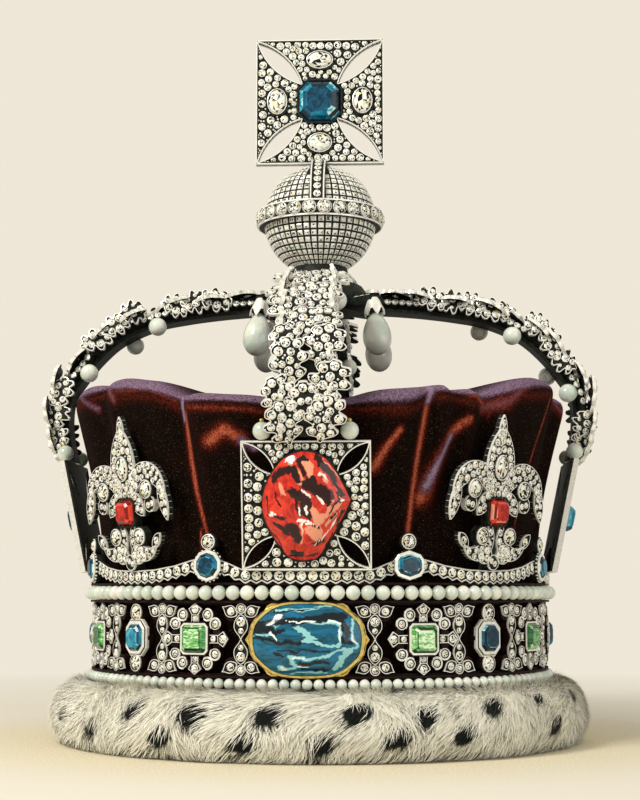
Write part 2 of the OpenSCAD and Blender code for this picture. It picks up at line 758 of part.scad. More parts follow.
// One side of the flower's outline, in shares of half the width and of the height
module fleur_half() {
    half = fleur_w / 2;
    h = fleur_h;
    // Side petal: a curl that comes up from the waist and droops
    difference() {
        translate([half * 0.53, h * 0.50]) circle(half * 0.46, $fn = 64);
        translate([half * 0.56, h * 0.39]) circle(half * 0.40, $fn = 64);
    }
    translate([half * 0.93, h * 0.44]) rotate(-76) lens(h * 0.26, half * 0.2);
    // Curl with its round diamond and a lobe below
    translate([half * FLEUR_ROUNDS[0][0], h * FLEUR_ROUNDS[0][1]])
        circle(diamond_d * FLEUR_ROUNDS[0][2] / 2 + stone_gap + bezel_w, $fn = 32);
    translate([half * 0.60, h * 0.435]) circle(half * 0.115, $fn = 32);
    translate([half * 0.30, h * 0.43]) rotate(-55) lens(h * 0.2, half * 0.24);
    // Lower scroll with its round diamond
    translate([half * FLEUR_ROUNDS[1][0], h * FLEUR_ROUNDS[1][1]])
        circle(diamond_d * FLEUR_ROUNDS[1][2] / 2 + stone_gap + bezel_w, $fn = 32);
    difference() {
        translate([half * 0.36, h * 0.20]) circle(half * 0.33, $fn = 64);
        translate([half * 0.50, h * 0.285]) circle(half * 0.33, $fn = 64);
    }
    translate([half * 0.69, h * 0.19]) rotate(50) lens(h * 0.13, half * 0.16);
    // Lobes of the lowest leaf
    translate([half * 0.20, h * 0.105]) circle(half * 0.15, $fn = 32);
}
module fleur_shape() {
    half = fleur_w / 2;
    h = fleur_h;
    fleur_half();
    mirror([1, 0]) fleur_half();
    // Middle petal and its drawn-out tip
    translate([0, h * 0.66]) rotate(90) lens(h * 0.54, half * 0.60);
    translate([0, h * 0.90]) rotate(90) lens(h * 0.2, half * 0.16);
    // Waist, stem and lowest lobe
    translate([0, h * fleur_stone_up]) square([half * 0.46, h * 0.22], center = true);
    translate([0, h * 0.18]) square([half * 0.26, h * 0.24], center = true);
    translate([0, half * 0.125]) circle(half * 0.12, $fn = 32);
}

module fleur(angle) {
    color(silver) {
        foot(angle, fleur_r, fleur_z, fleur_lean, fleur_foot_w);
        stand(angle, fleur_r, fleur_z, fleur_lean) {
            linear_extrude(fleur_t) fleur_shape();
            translate([0, fleur_h * fleur_stone_up, 0])
                setting(fleur_reach, fleur_t + 0.3, setting_wall);
            translate([0, fleur_h * drop_diamond_up, 0])
                setting(drop_reach, fleur_t + 0.3, 0.7);
            for (d = FLEUR_ROUNDS, side = [-1, 1])
                translate([side * fleur_w / 2 * d[0], fleur_h * d[1], 0])
                    setting(fleur_round(d[2]), fleur_t + 0.3, 0.6);
        }
    }
}
module fleur_front_right() { fleur(fleur_at[0]); }
module fleur_back_right() { fleur(fleur_at[1]); }
module fleur_back_left() { fleur(fleur_at[2]); }
module fleur_front_left() { fleur(fleur_at[3]); }

fleur_floor = fleur_t + 0.3 + gap / 2;
module fleur_stone(i) {
    color(ruby)
        stand(fleur_at[i - 1], fleur_r, fleur_z, fleur_lean)
            translate([0, fleur_h * fleur_stone_up, fleur_floor])
                cut_stone(fleur_reach, 2.2, 1);
}
module fleur_diamonds() {
    color(diamond)
        for (a = fleur_at)
            stand(a, fleur_r, fleur_z, fleur_lean) {
                translate([0, fleur_h * drop_diamond_up, fleur_floor])
                    cut_stone(drop_reach, 1.4, 0.6);
                for (d = FLEUR_ROUNDS, side = [-1, 1])
                    translate([side * fleur_w / 2 * d[0], fleur_h * d[1], fleur_floor])
                        cut_stone(fleur_round(d[2]), 1.2, 0.5);
            }
}

// Arches
// Underside from the cross to the boss: share of the way out, of the rise, of the width over
// the leaves and of the leaf height
ARCH_ROWS = [
    [1.000, 0.000, 0.86, 0.5], [1.024, 0.116, 0.92, 0.8], [1.038, 0.263, 1.00, 1.0],
    [1.026, 0.411, 1.00, 1.0], [0.968, 0.537, 1.00, 1.0], [0.880, 0.679, 1.00, 1.0],
    [0.765, 0.806, 1.00, 0.9], [0.593, 0.903, 0.96, 0.9], [0.438, 0.944, 0.94, 0.9],
    [0.289, 0.970, 0.94, 1.0], [0.146, 0.987, 0.92, 1.3], [0.000, 1.000, 0.80, 1.9]
];
ARCH_OUT = 0;
ARCH_UP = 1;
ARCH_WIDE = 2;
ARCH_HIGH = 3;
FOOT_WIDTH = ARCH_ROWS[0][ARCH_WIDE];
// Along one leaf: share of the width and of the height
LEAF = [[0.70, 0.55], [0.92, 0.95], [0.84, 0.75], [1.00, 1.00], [0.86, 0.80]];
leaf_n = 9;
arch_steps = leaf_n * len(LEAF);

// A smooth curve through the rows, with t counted in rows
function along(t) =
    let (last = len(ARCH_ROWS) - 1,
         i = min(floor(t), last - 1),
         f = t - i,
         p0 = ARCH_ROWS[max(i - 1, 0)], p1 = ARCH_ROWS[i],
         p2 = ARCH_ROWS[i + 1], p3 = ARCH_ROWS[min(i + 2, last)])
    0.5 * (2 * p1 + f * (p2 - p0) + f * f * (2 * p0 - 5 * p1 + 4 * p2 - p3)
        + f * f * f * (3 * p1 - p0 - 3 * p2 + p3));
function arch_under(row) = [
    boss_clear + (arch_foot_r - boss_clear) * row[ARCH_OUT],
    arch_foot_z + arch_rise * row[ARCH_UP]
];
// Outward direction, square to the underside, turned level at the foot and upright at the boss
function arch_normal(t) =
    let (last = len(ARCH_ROWS) - 1,
         step = arch_under(along(min(t + 0.05, last))) - arch_under(along(max(t - 0.05, 0))),
         n = [step[1], -step[0]] / norm(step))
    t <= 0 ? [1, 0] : (t >= last ? [0, 1] : n);

function arch_section(k) =
    let (row = along((len(ARCH_ROWS) - 1) * k / arch_steps),
         here = LEAF[k % len(LEAF)],
         there = LEAF[(k + 2) % len(LEAF)],
         left = arch_w / 2 * row[ARCH_WIDE] * here[0],
         right = arch_w / 2 * row[ARCH_WIDE] * there[0],
         high_left = leaf_t * row[ARCH_HIGH] * here[1],
         high_right = leaf_t * row[ARCH_HIGH] * there[1],
         s = strap_w / 2)
    [
        [-s, 0], [-s, strap_t], [-left, strap_t + 0.2], [-left, strap_t + 0.35 * high_left],
        [-0.62 * left, strap_t + high_left], [-0.22 * left, strap_t + 0.8 * high_left],
        [0, strap_t + 0.62 * max(high_left, high_right)],
        [0.22 * right, strap_t + 0.8 * high_right], [0.62 * right, strap_t + high_right],
        [right, strap_t + 0.35 * high_right], [right, strap_t + 0.2], [s, strap_t], [s, 0]
    ];
ARCH_SIDES = 13;

module half_arch(angle) {
    last = len(ARCH_ROWS) - 1;
    color(silver)
        rotate([0, 0, angle])
            difference() {
                polyhedron(
                    points = [
                        for (k = [0 : arch_steps])
                            let (t = last * k / arch_steps,
                                 base = arch_under(along(t)),
                                 n = arch_normal(t))
                            for (p = arch_section(k))
                                [p[0], -(base[0] + n[0] * p[1]), base[1] + n[1] * p[1]]
                    ],
                    faces = concat(
                        [for (k = [0 : arch_steps - 1], i = [0 : ARCH_SIDES - 1], side = [0, 1])
                            let (j = (i + 1) % ARCH_SIDES,
                                 p = k * ARCH_SIDES + i, q = k * ARCH_SIDES + j,
                                 s = q + ARCH_SIDES, t = p + ARCH_SIDES)
                            side == 0 ? [p, s, q] : [p, t, s]],
                        [[for (i = [0 : ARCH_SIDES - 1]) i]],
                        [[for (i = [ARCH_SIDES - 1 : -1 : 0]) arch_steps * ARCH_SIDES + i]]
                    )
                );
                // Piercings above the cross
                for (row = [0 : 3])
                    translate([0, -arch_foot_r, arch_foot_z + 6 + 6 * row])
                        rotate([90, 0, 0])
                            cylinder(h = far, d = 2.6, center = true, $fn = 24);
            }
}
module arch_front() { half_arch(cross_at[0]); }
module arch_right() { half_arch(cross_at[1]); }
module arch_back() { half_arch(cross_at[2]); }
module arch_left() { half_arch(cross_at[3]); }

// Pearls under the edges of the leaves: place along the arch in rows, side
ARCH_PEARLS = [[4.4, 1], [3.2, -1], [7.1, 1], [6.2, -1]];
module arch_pearls(angle) {
    color(pearl_white)
        rotate([0, 0, angle])
            for (p = ARCH_PEARLS)
                let (base = arch_under(along(p[0])),
                     n = arch_normal(p[0]),
                     sink = strap_t - gap - arch_pearl_d / 2)
                translate([
                    p[1] * (strap_w / 2 + gap + arch_pearl_d / 2),
                    -(base[0] + n[0] * sink),
                    base[1] + n[1] * sink
                ])
                    sphere(d = arch_pearl_d, $fn = 48);
}

// Boss where the arches meet, with brackets for the drop pearls
bracket_z = arch_top_z + 1.5;
bracket_t = 2.4;
bracket_w = 5;
drop_r = boss_r + 12;
drop_tilt = 8;
drop_cap_h = 5;
drop_cap_w = drop_w * 0.62;
drop_neck_w = drop_w * 0.4;

module drop_place(angle) {
    rotate([0, 0, angle])
        translate([0, -drop_r, bracket_z])
            rotate([-drop_tilt, 0, 0])
                children();
}
module arch_boss() {
    cup_z = orb_z - arch_top_z;
    color(silver)
        difference() {
            union() {
                translate([0, 0, arch_top_z])
                    rotate_extrude($fn = 96)
                        polygon([
                            [0, 0], [boss_r * 0.8, 0], [boss_r, 2], [boss_r, strap_t + 4],
                            [boss_r * 0.86, boss_h * 0.66], [boss_r * 0.6, boss_h * 0.86],
                            [boss_r * 0.55, boss_h + 3], [0, boss_h + 3]
                        ]);
                for (a = fleur_at) {
                    rotate([0, 0, a])
                        translate([-bracket_w / 2, -drop_r - 1, bracket_z])
                            cube([bracket_w, drop_r - boss_r / 2, bracket_t]);
                    drop_place(a)
                        translate([0, 0, -drop_cap_h])
                            cylinder(h = drop_cap_h + 1.2, r1 = drop_cap_w / 2,
                                     r2 = drop_cap_w / 4, $fn = 48);
                }
            }
            translate([0, 0, arch_top_z + cup_z])
                sphere(r = orb_r + gap, $fn = 96);
        }
}
// A pear-shaped pearl that hangs from its diamond cap
module drop_pearl(i) {
    ball = drop_w / 2;
    neck = drop_l - ball;
    tangent = acos((ball - drop_neck_w / 2) / neck);
    color(pearl_white)
        drop_place(fleur_at[i - 1])
            translate([0, 0, -drop_cap_h - gap - drop_l])
                rotate_extrude($fn = 64)
                    intersection() {
                        union() {
                            translate([0, ball]) circle(ball, $fn = 64);
                            polygon([
                                [0, ball], [ball * sin(tangent), ball + ball * cos(tangent)],
                                [drop_neck_w / 2, drop_l], [0, drop_l]
                            ]);
                        }
                        square([drop_w, drop_l]);
                    }
}

// Orb
module monde() {
    color(silver)
        translate([0, 0, orb_z]) {
            sphere(r = orb_r, $fn = 96);
            cylinder(h = band_h, r = orb_r + band_out, center = true, $fn = 96);
            intersection() {
                rotate([0, 90, 0])
                    cylinder(h = band_w, r = orb_r + band_out * 0.8, center = true, $fn = 96);
                translate([-band_w, -far, 0])
                    cube([2 * band_w, 2 * far, orb_r + 2 * band_out]);
            }
        }
}

// Top cross
top_reach = oval_reach(top_stone_w, top_stone_w, 0.75, 8);
// Larger diamonds on the arms: direction, width, height
TOP_DIAMONDS = [[0, 8, 11], [90, 11, 7.4], [180, 8, 11], [270, 10, 8]];
top_lens_in = top_stone_w * 0.62;
function top_diamond_reach(d) = oval_reach(d[1], d[2], 0.8, 8);
function top_diamond_out() = top_s * 0.335;

module top_cross() {
    color(silver)
        difference() {
            translate([0, top_t / 2, top_z]) rotate([90, 0, 0]) {
                cross_plate(top_s, top_t, top_lens_in, lens_w * 1.35);
                setting(top_reach, top_t + 0.3, setting_wall);
                for (d = TOP_DIAMONDS)
                    translate(top_diamond_out() * [cos(d[0]), sin(d[0]), 0])
                        setting(top_diamond_reach(d), top_t + 0.3, 0.8);
            }
            translate([0, 0, orb_z]) {
                sphere(r = orb_r + gap, $fn = 96);
                rotate([0, 90, 0])
                    cylinder(h = band_w + 2 * gap, r = orb_r + band_out * 0.8 + gap,
                             center = true, $fn = 96);
            }
        }
}
top_floor = top_t / 2 + 0.3 + gap / 2;
module stone_top() {
    color(blue)
        translate([0, -top_floor, top_z]) rotate([90, 0, 0])
            cut_stone(top_reach, 3.4, 1);
}
module top_diamonds() {
    color(diamond)
        for (d = TOP_DIAMONDS)
            translate([0, -top_floor, top_z]) rotate([90, 0, 0])
                translate(top_diamond_out() * [cos(d[0]), sin(d[0]), 0])
                    cut_stone(top_diamond_reach(d), 1.6, 0.7);
}

// Stones of the circlet
module sapphire_front() {
    color(blue)
        stand(0, front_stone_r, field_mid) cut_stone(front_reach, 4.6, 1.2);
}
module sapphire(i) {
    color(blue)
        stand(sapphire_at[i - 1], stone_floor + gap / 2, field_mid)
            cut_stone(sapphire_reach, 2.2, 0.9);
}
module emerald(i) {
    color(green)
        stand(emerald_at[i - 1], stone_floor + gap / 2, field_mid)
            cut_stone(emerald_reach, 2.2, 0.9);
}
module circlet_diamonds() {
    color(diamond)
        for (a = fleur_at, side = [-1, 1])
            stand(a, stone_floor + gap / 2, field_mid + side * diamond_up())
                cut_stone(diamond_reach, 1.2, 0.5);
}

ermine();
cap();
circlet();
pearls_upper();
thread_upper();
pearls_lower();
cross_front();
cross_right();
cross_back();
cross_left();
fleur_front_right();
fleur_back_right();
fleur_back_left();
fleur_front_left();
arch_front();
arch_right();
arch_back();
arch_left();
arch_boss();
monde();
top_cross();
festoon();
festoon_stones();
stone_front();
stone_right();
stone_back();
stone_left();
stone_top();
top_diamonds();
sapphire_front();
sapphire(1);  // sapphire_1
sapphire(2);  // sapphire_2
sapphire(3);  // sapphire_3
sapphire(4);  // sapphire_4
sapphire(5);  // sapphire_5
sapphire(6);  // sapphire_6
sapphire(7);  // sapphire_7
emerald(1);  // emerald_1
emerald(2);  // emerald_2
emerald(3);  // emerald_3
emerald(4);  // emerald_4
emerald(5);  // emerald_5
emerald(6);  // emerald_6
emerald(7);  // emerald_7
emerald(8);  // emerald_8
circlet_diamonds();
fleur_stone(1);  // fleur_stone_1
fleur_stone(2);  // fleur_stone_2
fleur_stone(3);  // fleur_stone_3
fleur_stone(4);  // fleur_stone_4
fleur_diamonds();
drop_pearl(1);  // drop_pearl_1
drop_pearl(2);  // drop_pearl_2
drop_pearl(3);  // drop_pearl_3
drop_pearl(4);  // drop_pearl_4
arch_pearls(cross_at[0]);  // arch_pearls_front
arch_pearls(cross_at[1]);  // arch_pearls_right
arch_pearls(cross_at[2]);  // arch_pearls_back
arch_pearls(cross_at[3]);  // arch_pearls_left
cross_pearls();
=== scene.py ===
"""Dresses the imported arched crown: diamonds, leaves, pearls, gems, velvet and fur.

Lengths are in millimetres until a piece is made. The camera, the lights, the floor, the scales
of the materials and the frame are in metres. The places and sizes repeat the named values of
the CAD source.
"""
import math

import bpy
import numpy as np
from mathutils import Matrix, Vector, noise


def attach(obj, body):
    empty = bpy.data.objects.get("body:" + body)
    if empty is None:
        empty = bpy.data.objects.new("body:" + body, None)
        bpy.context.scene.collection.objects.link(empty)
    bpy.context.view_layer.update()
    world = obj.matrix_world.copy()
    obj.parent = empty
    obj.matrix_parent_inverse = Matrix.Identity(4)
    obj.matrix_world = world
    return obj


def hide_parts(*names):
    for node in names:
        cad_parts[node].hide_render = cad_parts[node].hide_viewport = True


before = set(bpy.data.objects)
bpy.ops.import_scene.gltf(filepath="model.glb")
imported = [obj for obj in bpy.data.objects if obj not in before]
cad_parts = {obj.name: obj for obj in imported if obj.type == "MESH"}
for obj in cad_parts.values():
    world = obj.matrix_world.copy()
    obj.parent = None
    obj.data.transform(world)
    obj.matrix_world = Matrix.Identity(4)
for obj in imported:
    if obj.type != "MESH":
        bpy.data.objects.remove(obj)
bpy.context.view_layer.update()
rng = np.random.default_rng(11)
MM = 0.001

# camera
CAMERA_AT = (0.0342, -0.6992, 0.062)
CAMERA_UP = 6.87
CAMERA_ROUND = 2.8
camera = bpy.data.objects.new("camera", bpy.data.cameras.new("camera"))
bpy.context.collection.objects.link(camera)
camera.data.sensor_fit = "AUTO"
camera.data.sensor_width = 24
camera.data.lens = 48
camera.data.clip_start = 0.02
camera.location = CAMERA_AT
camera.rotation_euler = (math.radians(90 + CAMERA_UP), 0, math.radians(CAMERA_ROUND))
bpy.context.scene.camera = camera

# values of the source
GAP = 0.2
BEZEL_W = 0.8
STONE_GAP = 0.15
BORE_R = 91.5
FUR_W, FUR_H, FUR_LIP = 24.5, 27.0, 2.2
CAP_R, CAP_RISE, CAP_SWELL, FOLD_D = 93.5, 84.5, 13.5, 5.0
PLATE_OUT, RELIEF = 95.5, 1.2
CIRCLET_Z, FIELD_Z, FIELD_H = 25.0, 31.0, 27.2
FIELD_MID = FIELD_Z + FIELD_H / 2
STONE_FLOOR = PLATE_OUT + RELIEF
LOW_R, LOW_Z, LOW_D = 97.7, 28.0, 4.0
UP_R, UP_Z, UP_D, UP_N = 98.5, 62.0, 5.6, 108
RIM_Z = 65.8
STRIP_OUT, STRIP_Z, STRIP_H, STRIP_RISE = 98.2, 66.0, 4.4, 5.3
CROSS_S, CROSS_T, CROSS_LEAN, CROSS_R, CROSS_Z = 48.2, 2.2, 12, 97.4, 71.2
BORDER_W, BORDER_T, LENS_W = 1.0, 0.7, 5.4
RED_W, RED_H, RED_LENS = 30.5, 39.7, 16.5
BLUE_W, BLUE_LENS = 14.0, 12.0
FLEUR_Z, FLEUR_R, FLEUR_H, FLEUR_W, FLEUR_T, FLEUR_LEAN = 70.8, 97.4, 61.0, 52.0, 2.0, 7
FLEUR_STONE_W, FLEUR_STONE_UP = 10.4, 0.375
DIAMOND_D = 5.8
ARCH_W, STRAP_W, STRAP_T, LEAF_T = 28.0, 12.0, 3.2, 5.4
ARCH_FOOT_R, ARCH_FOOT_Z, ARCH_RISE, ARCH_TOP_Z = 106.92, 119.25, 65.5, 184.75
BOSS_R, BOSS_CLEAR = 22.0, 22.2
ORB_R, ORB_Z, BAND_OUT, BAND_H, BAND_W = 24.6, 226.95, 2.6, 7.0, 6.0
TOP_S, TOP_T, TOP_Z, TOP_STONE_W = 57.2, 3.0, 281.35, 18.5
CROSS_AT = (0, 90, 180, 270)
FLEUR_AT = (45, 135, 225, 315)
PILLAR_AT = (15, 36, 54, 75)
EMERALD_AT = (26.5, 63.5, 116.5, 153.5, 206.5, 243.5, 296.5, 333.5)
SAPPHIRE_AT = (45, 90, 135, 180, 225, 270, 315)


# materials
def shader(name, **sockets):
    """A material whose Principled sockets are set by name, with its tree and shader."""
    made = bpy.data.materials.new(name)
    made.use_nodes = True
    tree = made.node_tree
    bsdf = tree.nodes["Principled BSDF"]
    for socket, value in sockets.items():
        bsdf.inputs[socket.replace("_", " ")].default_value = value
    return made, tree, bsdf


def rgba(r, g, b):
    return (r, g, b, 1.0)


def node_of(tree, kind, inputs=(), **settings):
    """A node with settings by name and inputs by name or place. An input gets a number, a
    colour or vector of numbers, or the output that is linked to it."""
    made = tree.nodes.new("ShaderNode" + kind)
    for name, value in settings.items():
        setattr(made, name, value)
    for place, value in dict(inputs).items():
        socket = made.inputs[place]
        if isinstance(value, bpy.types.NodeSocket):
            tree.links.new(value, socket)
        elif socket.type == "RGBA":
            socket.default_value = rgba(*value)
        else:
            socket.default_value = value
    return made


def noise_node(tree, scale, detail=3.0, stretch=None, distortion=0.0, rough=0.5):
    """Noise over the object's own coordinates, stretched along its axes."""
    source = node_of(tree, "TexCoord").outputs["Object"]
    if stretch:
        source = node_of(tree, "Mapping", {"Vector": source, "Scale": stretch}).outputs[0]
    return node_of(tree, "TexNoise", {"Vector": source, "Scale": scale, "Detail": detail,
                                      "Roughness": rough, "Distortion": distortion}).outputs["Fac"]


def attribute(tree, name):
    return node_of(tree, "Attribute", attribute_name=name).outputs["Fac"]


def ramp(tree, value, stops, constant=False):
    """A colour ramp through (place, colour) stops."""
    made = node_of(tree, "ValToRGB", {"Fac": value})
    made.color_ramp.interpolation = "CONSTANT" if constant else "LINEAR"
    elements = made.color_ramp.elements
    while len(elements) < len(stops):
        elements.new(0.5)
    for element, (place, colour) in zip(elements, stops):
        element.position = place
        element.color = rgba(*colour)
    return made.outputs["Color"]


def mix(tree, share, a, b, blend="MIX"):
    """Mixes two colours; each is a socket or three numbers."""
    return node_of(tree, "Mix", {0: share, 6: a, 7: b}, data_type="RGBA",
                   blend_type=blend).outputs[2]


def colour_from(tree, bsdf, colour):
    tree.links.new(colour, bsdf.inputs["Base Color"])


def blend_shaders(tree, share, first, second, output):
    """Shows the first shader where share is 0, and the second where it is 1."""
    made = node_of(tree, "MixShader", {0: share, 1: first, 2: second})
    tree.links.new(made.outputs[0], tree.nodes[output].inputs["Surface"])


def bump(tree, bsdf, height, strength, distance):
    made = node_of(tree, "Bump", {"Height": height, "Strength": strength, "Distance": distance})
    tree.links.new(made.outputs["Normal"], bsdf.inputs["Normal"])


def math_node(tree, operation, a, b):
    return node_of(tree, "Math", {0: a, 1: b}, operation=operation).outputs[0]


def swing(tree, value, gain):
    """Noise about 0.5 turned into noise about zero, gain times as large."""
    return math_node(tree, "MULTIPLY", math_node(tree, "SUBTRACT", value, 0.5), gain)


def grey_ramp(tree, value, low, high, start=0.0, end=1.0):
    """A ramp of grey from start at low to end at high."""
    return ramp(tree, value, [(low, (start,) * 3), (high, (end,) * 3)])


def facet_material(name, stops, streak=0.0, scale=300.0, stretch=None, distortion=0.0,
                   constant=False, **sockets):
    """A stone with painted reflections: each facet takes its own shade of the ramp from its tint,
    lighter or darker, with painted streaks of reflection inside it.
    """
    made, tree, bsdf = shader(name, **sockets)
    value = attribute(tree, "tint")
    if streak:
        inner = swing(tree, noise_node(tree, scale, 2.0, stretch, distortion), streak)
        value = math_node(tree, "ADD", value, inner)
    colour_from(tree, bsdf, ramp(tree, value, stops, constant))
    return made


POLISHED = {"Roughness": 0.10, "IOR": 1.5, "Specular_IOR_Level": 0.4}
# Diamond facets are painted reflections: black and dark grey, flecks of yellow, pink and green, and
# white.
DIAMOND = facet_material(
    "diamond",
    [(0.0, (0.006, 0.007, 0.006)), (0.22, (0.07, 0.08, 0.07)), (0.28, (0.80, 0.66, 0.22)),
     (0.33, (0.84, 0.62, 0.52)), (0.36, (0.58, 0.76, 0.58)), (0.40, (0.74, 0.76, 0.68)),
     (0.56, (0.90, 0.89, 0.81)), (0.78, (0.98, 0.97, 0.92))],
    constant=True, Roughness=0.16, IOR=1.45, Specular_IOR_Level=0.3)
# The coloured stones: their own colour, with painted reflections from near-black facets to pale
# highlights.
BLUE = facet_material(
    "blue_stone",
    [(0.0, (0.001, 0.006, 0.010)), (0.34, (0.002, 0.028, 0.055)), (0.56, (0.003, 0.10, 0.20)),
     (0.78, (0.008, 0.24, 0.38)), (0.94, (0.10, 0.46, 0.54)), (1.0, (0.66, 0.86, 0.84))],
    streak=0.7, scale=330, distortion=1.5, **POLISHED)
GREEN = facet_material(
    "green_stone",
    [(0.0, (0.004, 0.022, 0.008)), (0.28, (0.010, 0.075, 0.020)), (0.52, (0.045, 0.26, 0.065)),
     (0.74, (0.19, 0.50, 0.16)), (0.95, (0.72, 0.90, 0.60))],
    streak=1.3, scale=420, stretch=(1, 1, 2.4), distortion=1.0, **POLISHED)
RED = facet_material(
    "red_stone",
    [(0.0, (0.10, 0.003, 0.002)), (0.3, (0.34, 0.010, 0.006)), (0.55, (0.68, 0.028, 0.014)),
     (0.80, (0.82, 0.075, 0.03)), (0.97, (0.92, 0.42, 0.28))],
    streak=0.8, scale=300, stretch=(1.6, 1, 0.8), distortion=1.0, **POLISHED)


def painted_gem_material(name, deep, bright, dark, pale, glint, scale, stretch):
    """A large stone: mottled colour, with dark and pale reflections from attributes."""
    made, tree, bsdf = shader(name, Coat_Weight=0.15, Coat_Roughness=0.03, **POLISHED)
    mottle = noise_node(tree, scale, 5.0, stretch, 1.2, 0.7)
    rough = swing(tree, noise_node(tree, scale * 9, 2.0), 3.3)
    colour = ramp(tree, mottle, [(0.36, deep), (0.62, bright)])
    for layer, tone in (("pale", pale), ("dark", dark), ("glint", glint)):
        share = attribute(tree, layer)
        edge = math_node(tree, "MULTIPLY", share, math_node(tree, "SUBTRACT", 1.0, share))
        share = math_node(tree, "ADD", share, math_node(tree, "MULTIPLY", rough, edge))
        colour = mix(tree, grey_ramp(tree, share, 0.30, 0.74), colour, tone)
    colour_from(tree, bsdf, colour)
    return made


BIG_RED = painted_gem_material(
    "big_red_stone", (0.34, 0.006, 0.005), (0.84, 0.045, 0.018), (0.020, 0.0015, 0.0015),
    (0.86, 0.34, 0.20), (0.97, 0.90, 0.84), 230, (1.2, 1.0, 0.8))
BIG_BLUE = painted_gem_material(
    "big_blue_stone", (0.002, 0.045, 0.065), (0.004, 0.17, 0.33), (0.001, 0.007, 0.012),
    (0.30, 0.64, 0.66), (0.86, 0.95, 0.93), 200, (0.35, 1.0, 1.3))


def metal(name, low, high, metallic, roughness, scale, depth, level=0.5):
    """Worked metal: its colour and height vary in small marks."""
    made, tree, bsdf = shader(name, Metallic=metallic, Roughness=roughness,
                              Specular_IOR_Level=level)
    marks = noise_node(tree, scale, 4.0)
    colour_from(tree, bsdf, ramp(tree, marks, [(0.35, low), (0.65, high)]))
    bump(tree, bsdf, marks, 0.35, depth)
    return made


BRIGHT = metal("bright_silver", (0.80, 0.79, 0.72), (0.96, 0.95, 0.90), 0.25, 0.30, 900, 0.0001)
# Near-black metal that paints shade: the gaps between stones, the floors of settings, the strap
# under the arch leaves and the frames behind the pavé.
PAINTED_SHADE_METAL = metal("painted_shade_silver", (0.005, 0.007, 0.005), (0.022, 0.026, 0.020), 0.0, 0.55, 500, 0.0001,
             level=0.15)
GROUND = metal("circlet_ground", (0.006, 0.003, 0.003), (0.022, 0.007, 0.006), 0.0, 0.6, 260,
               0.0001, level=0.1)
GOLD = metal("gold", (0.60, 0.42, 0.08), (0.86, 0.70, 0.26), 0.75, 0.30, 700, 0.0001)


def pearl_material():
    """Nacre: off-white with a soft green-grey cast in patches."""
    made, tree, bsdf = shader("pearl", Roughness=0.24, IOR=1.53, Coat_Weight=0.6,
                              Coat_Roughness=0.10, Subsurface_Weight=0.12,
                              Subsurface_Scale=0.002, Sheen_Weight=0.15)
    cast = noise_node(tree, 110, 2.0)
    grain = noise_node(tree, 1500, 2.0)
    base = ramp(tree, cast, [(0.34, (0.55, 0.64, 0.56)), (0.66, (0.87, 0.88, 0.80))])
    base = mix(tree, 0.16, base, ramp(tree, grain, [(0.4, (0.5, 0.56, 0.5)), (0.6, (1, 1, 0.95))]),
               "MULTIPLY")
    colour_from(tree, bsdf, base)
    bump(tree, bsdf, cast, 0.12, 0.0006)
    return made


PEARL = pearl_material()


def velvet_material():
    """Silk velvet: near-black brown pile, lit orange, red or lavender where it turns over."""
    made, tree, bsdf = shader("velvet", Roughness=0.9, IOR=1.4, Specular_IOR_Level=0.05,
                              Sheen_Weight=0.03, Sheen_Roughness=0.4,
                              Sheen_Tint=rgba(0.50, 0.20, 0.24))
    pile = noise_node(tree, 1500, 3.0, rough=0.75)
    nap = grey_ramp(tree, noise_node(tree, 75, 3.0), 0.50, 0.80, end=0.5)
    specks = grey_ramp(tree, noise_node(tree, 3000, 1.0), 0.70, 0.76)
    colour = ramp(tree, pile, [(0.38, (0.0012, 0.0010, 0.0005)),
                               (0.68, (0.011, 0.0048, 0.0024))])
    colour = mix(tree, nap, colour, (0.014, 0.0035, 0.0020))
    colour = mix(tree, specks, colour, (0.20, 0.13, 0.10))
    grain = swing(tree, pile, 3.6)
    # The warm and cool layers are painted highlights on the pile.
    for layer, dusk, low, high in (
            ("warm", (0.045, 0.0060, 0.0035), (0.17, 0.024, 0.012), (0.47, 0.115, 0.058)),
            ("cool", (0.055, 0.015, 0.022), (0.10, 0.058, 0.092), (0.27, 0.18, 0.27))):
        share = attribute(tree, layer)
        ragged = math_node(tree, "MULTIPLY", grain, math_node(tree, "MINIMUM", share, 0.5))
        ragged = math_node(tree, "ADD", share, ragged)
        tone = ramp(tree, ragged, [(0.15, dusk), (0.45, low), (0.85, high)])
        colour = mix(tree, grey_ramp(tree, ragged, 0.04, 0.45), colour, tone)
    colour_from(tree, bsdf, colour)
    bump(tree, bsdf, pile, 0.4, 0.0003)
    return made


VELVET = velvet_material()


def fur_material():
    """Ermine: cream hairs, some grey, and black where a tail is sewn in; the grey of the lower edge
    is painted shade.
    """
    made, tree, bsdf = shader("fur", Roughness=0.65, IOR=1.45, Specular_IOR_Level=0.15,
                              Sheen_Weight=0.1, Sheen_Roughness=0.5)
    strand = swing(tree, noise_node(tree, 700, 3.0, (1, 1, 0.25)), 0.10)
    tone = math_node(tree, "ADD", attribute(tree, "tint"), strand)
    tone = ramp(tree, tone, [(0.0, (0.004, 0.006, 0.005)), (0.18, (0.016, 0.020, 0.017)),
                             (0.36, (0.16, 0.17, 0.145)), (0.56, (0.60, 0.59, 0.50)),
                             (0.80, (0.93, 0.91, 0.82))])
    colour_from(tree, bsdf, tone)
    return made


FUR = fur_material()


# parts and pieces
class Part:
    """Points and faces of something that is set once or many times."""

    def __init__(self, points, faces, paint=0, smooth=False):
        self.points = np.asarray(points, float)
        self.sizes = np.array([len(f) for f in faces])
        self.corners = np.concatenate([np.asarray(f) for f in faces])
        self.paint = np.broadcast_to(np.asarray(paint), len(faces))
        self.smooth = smooth


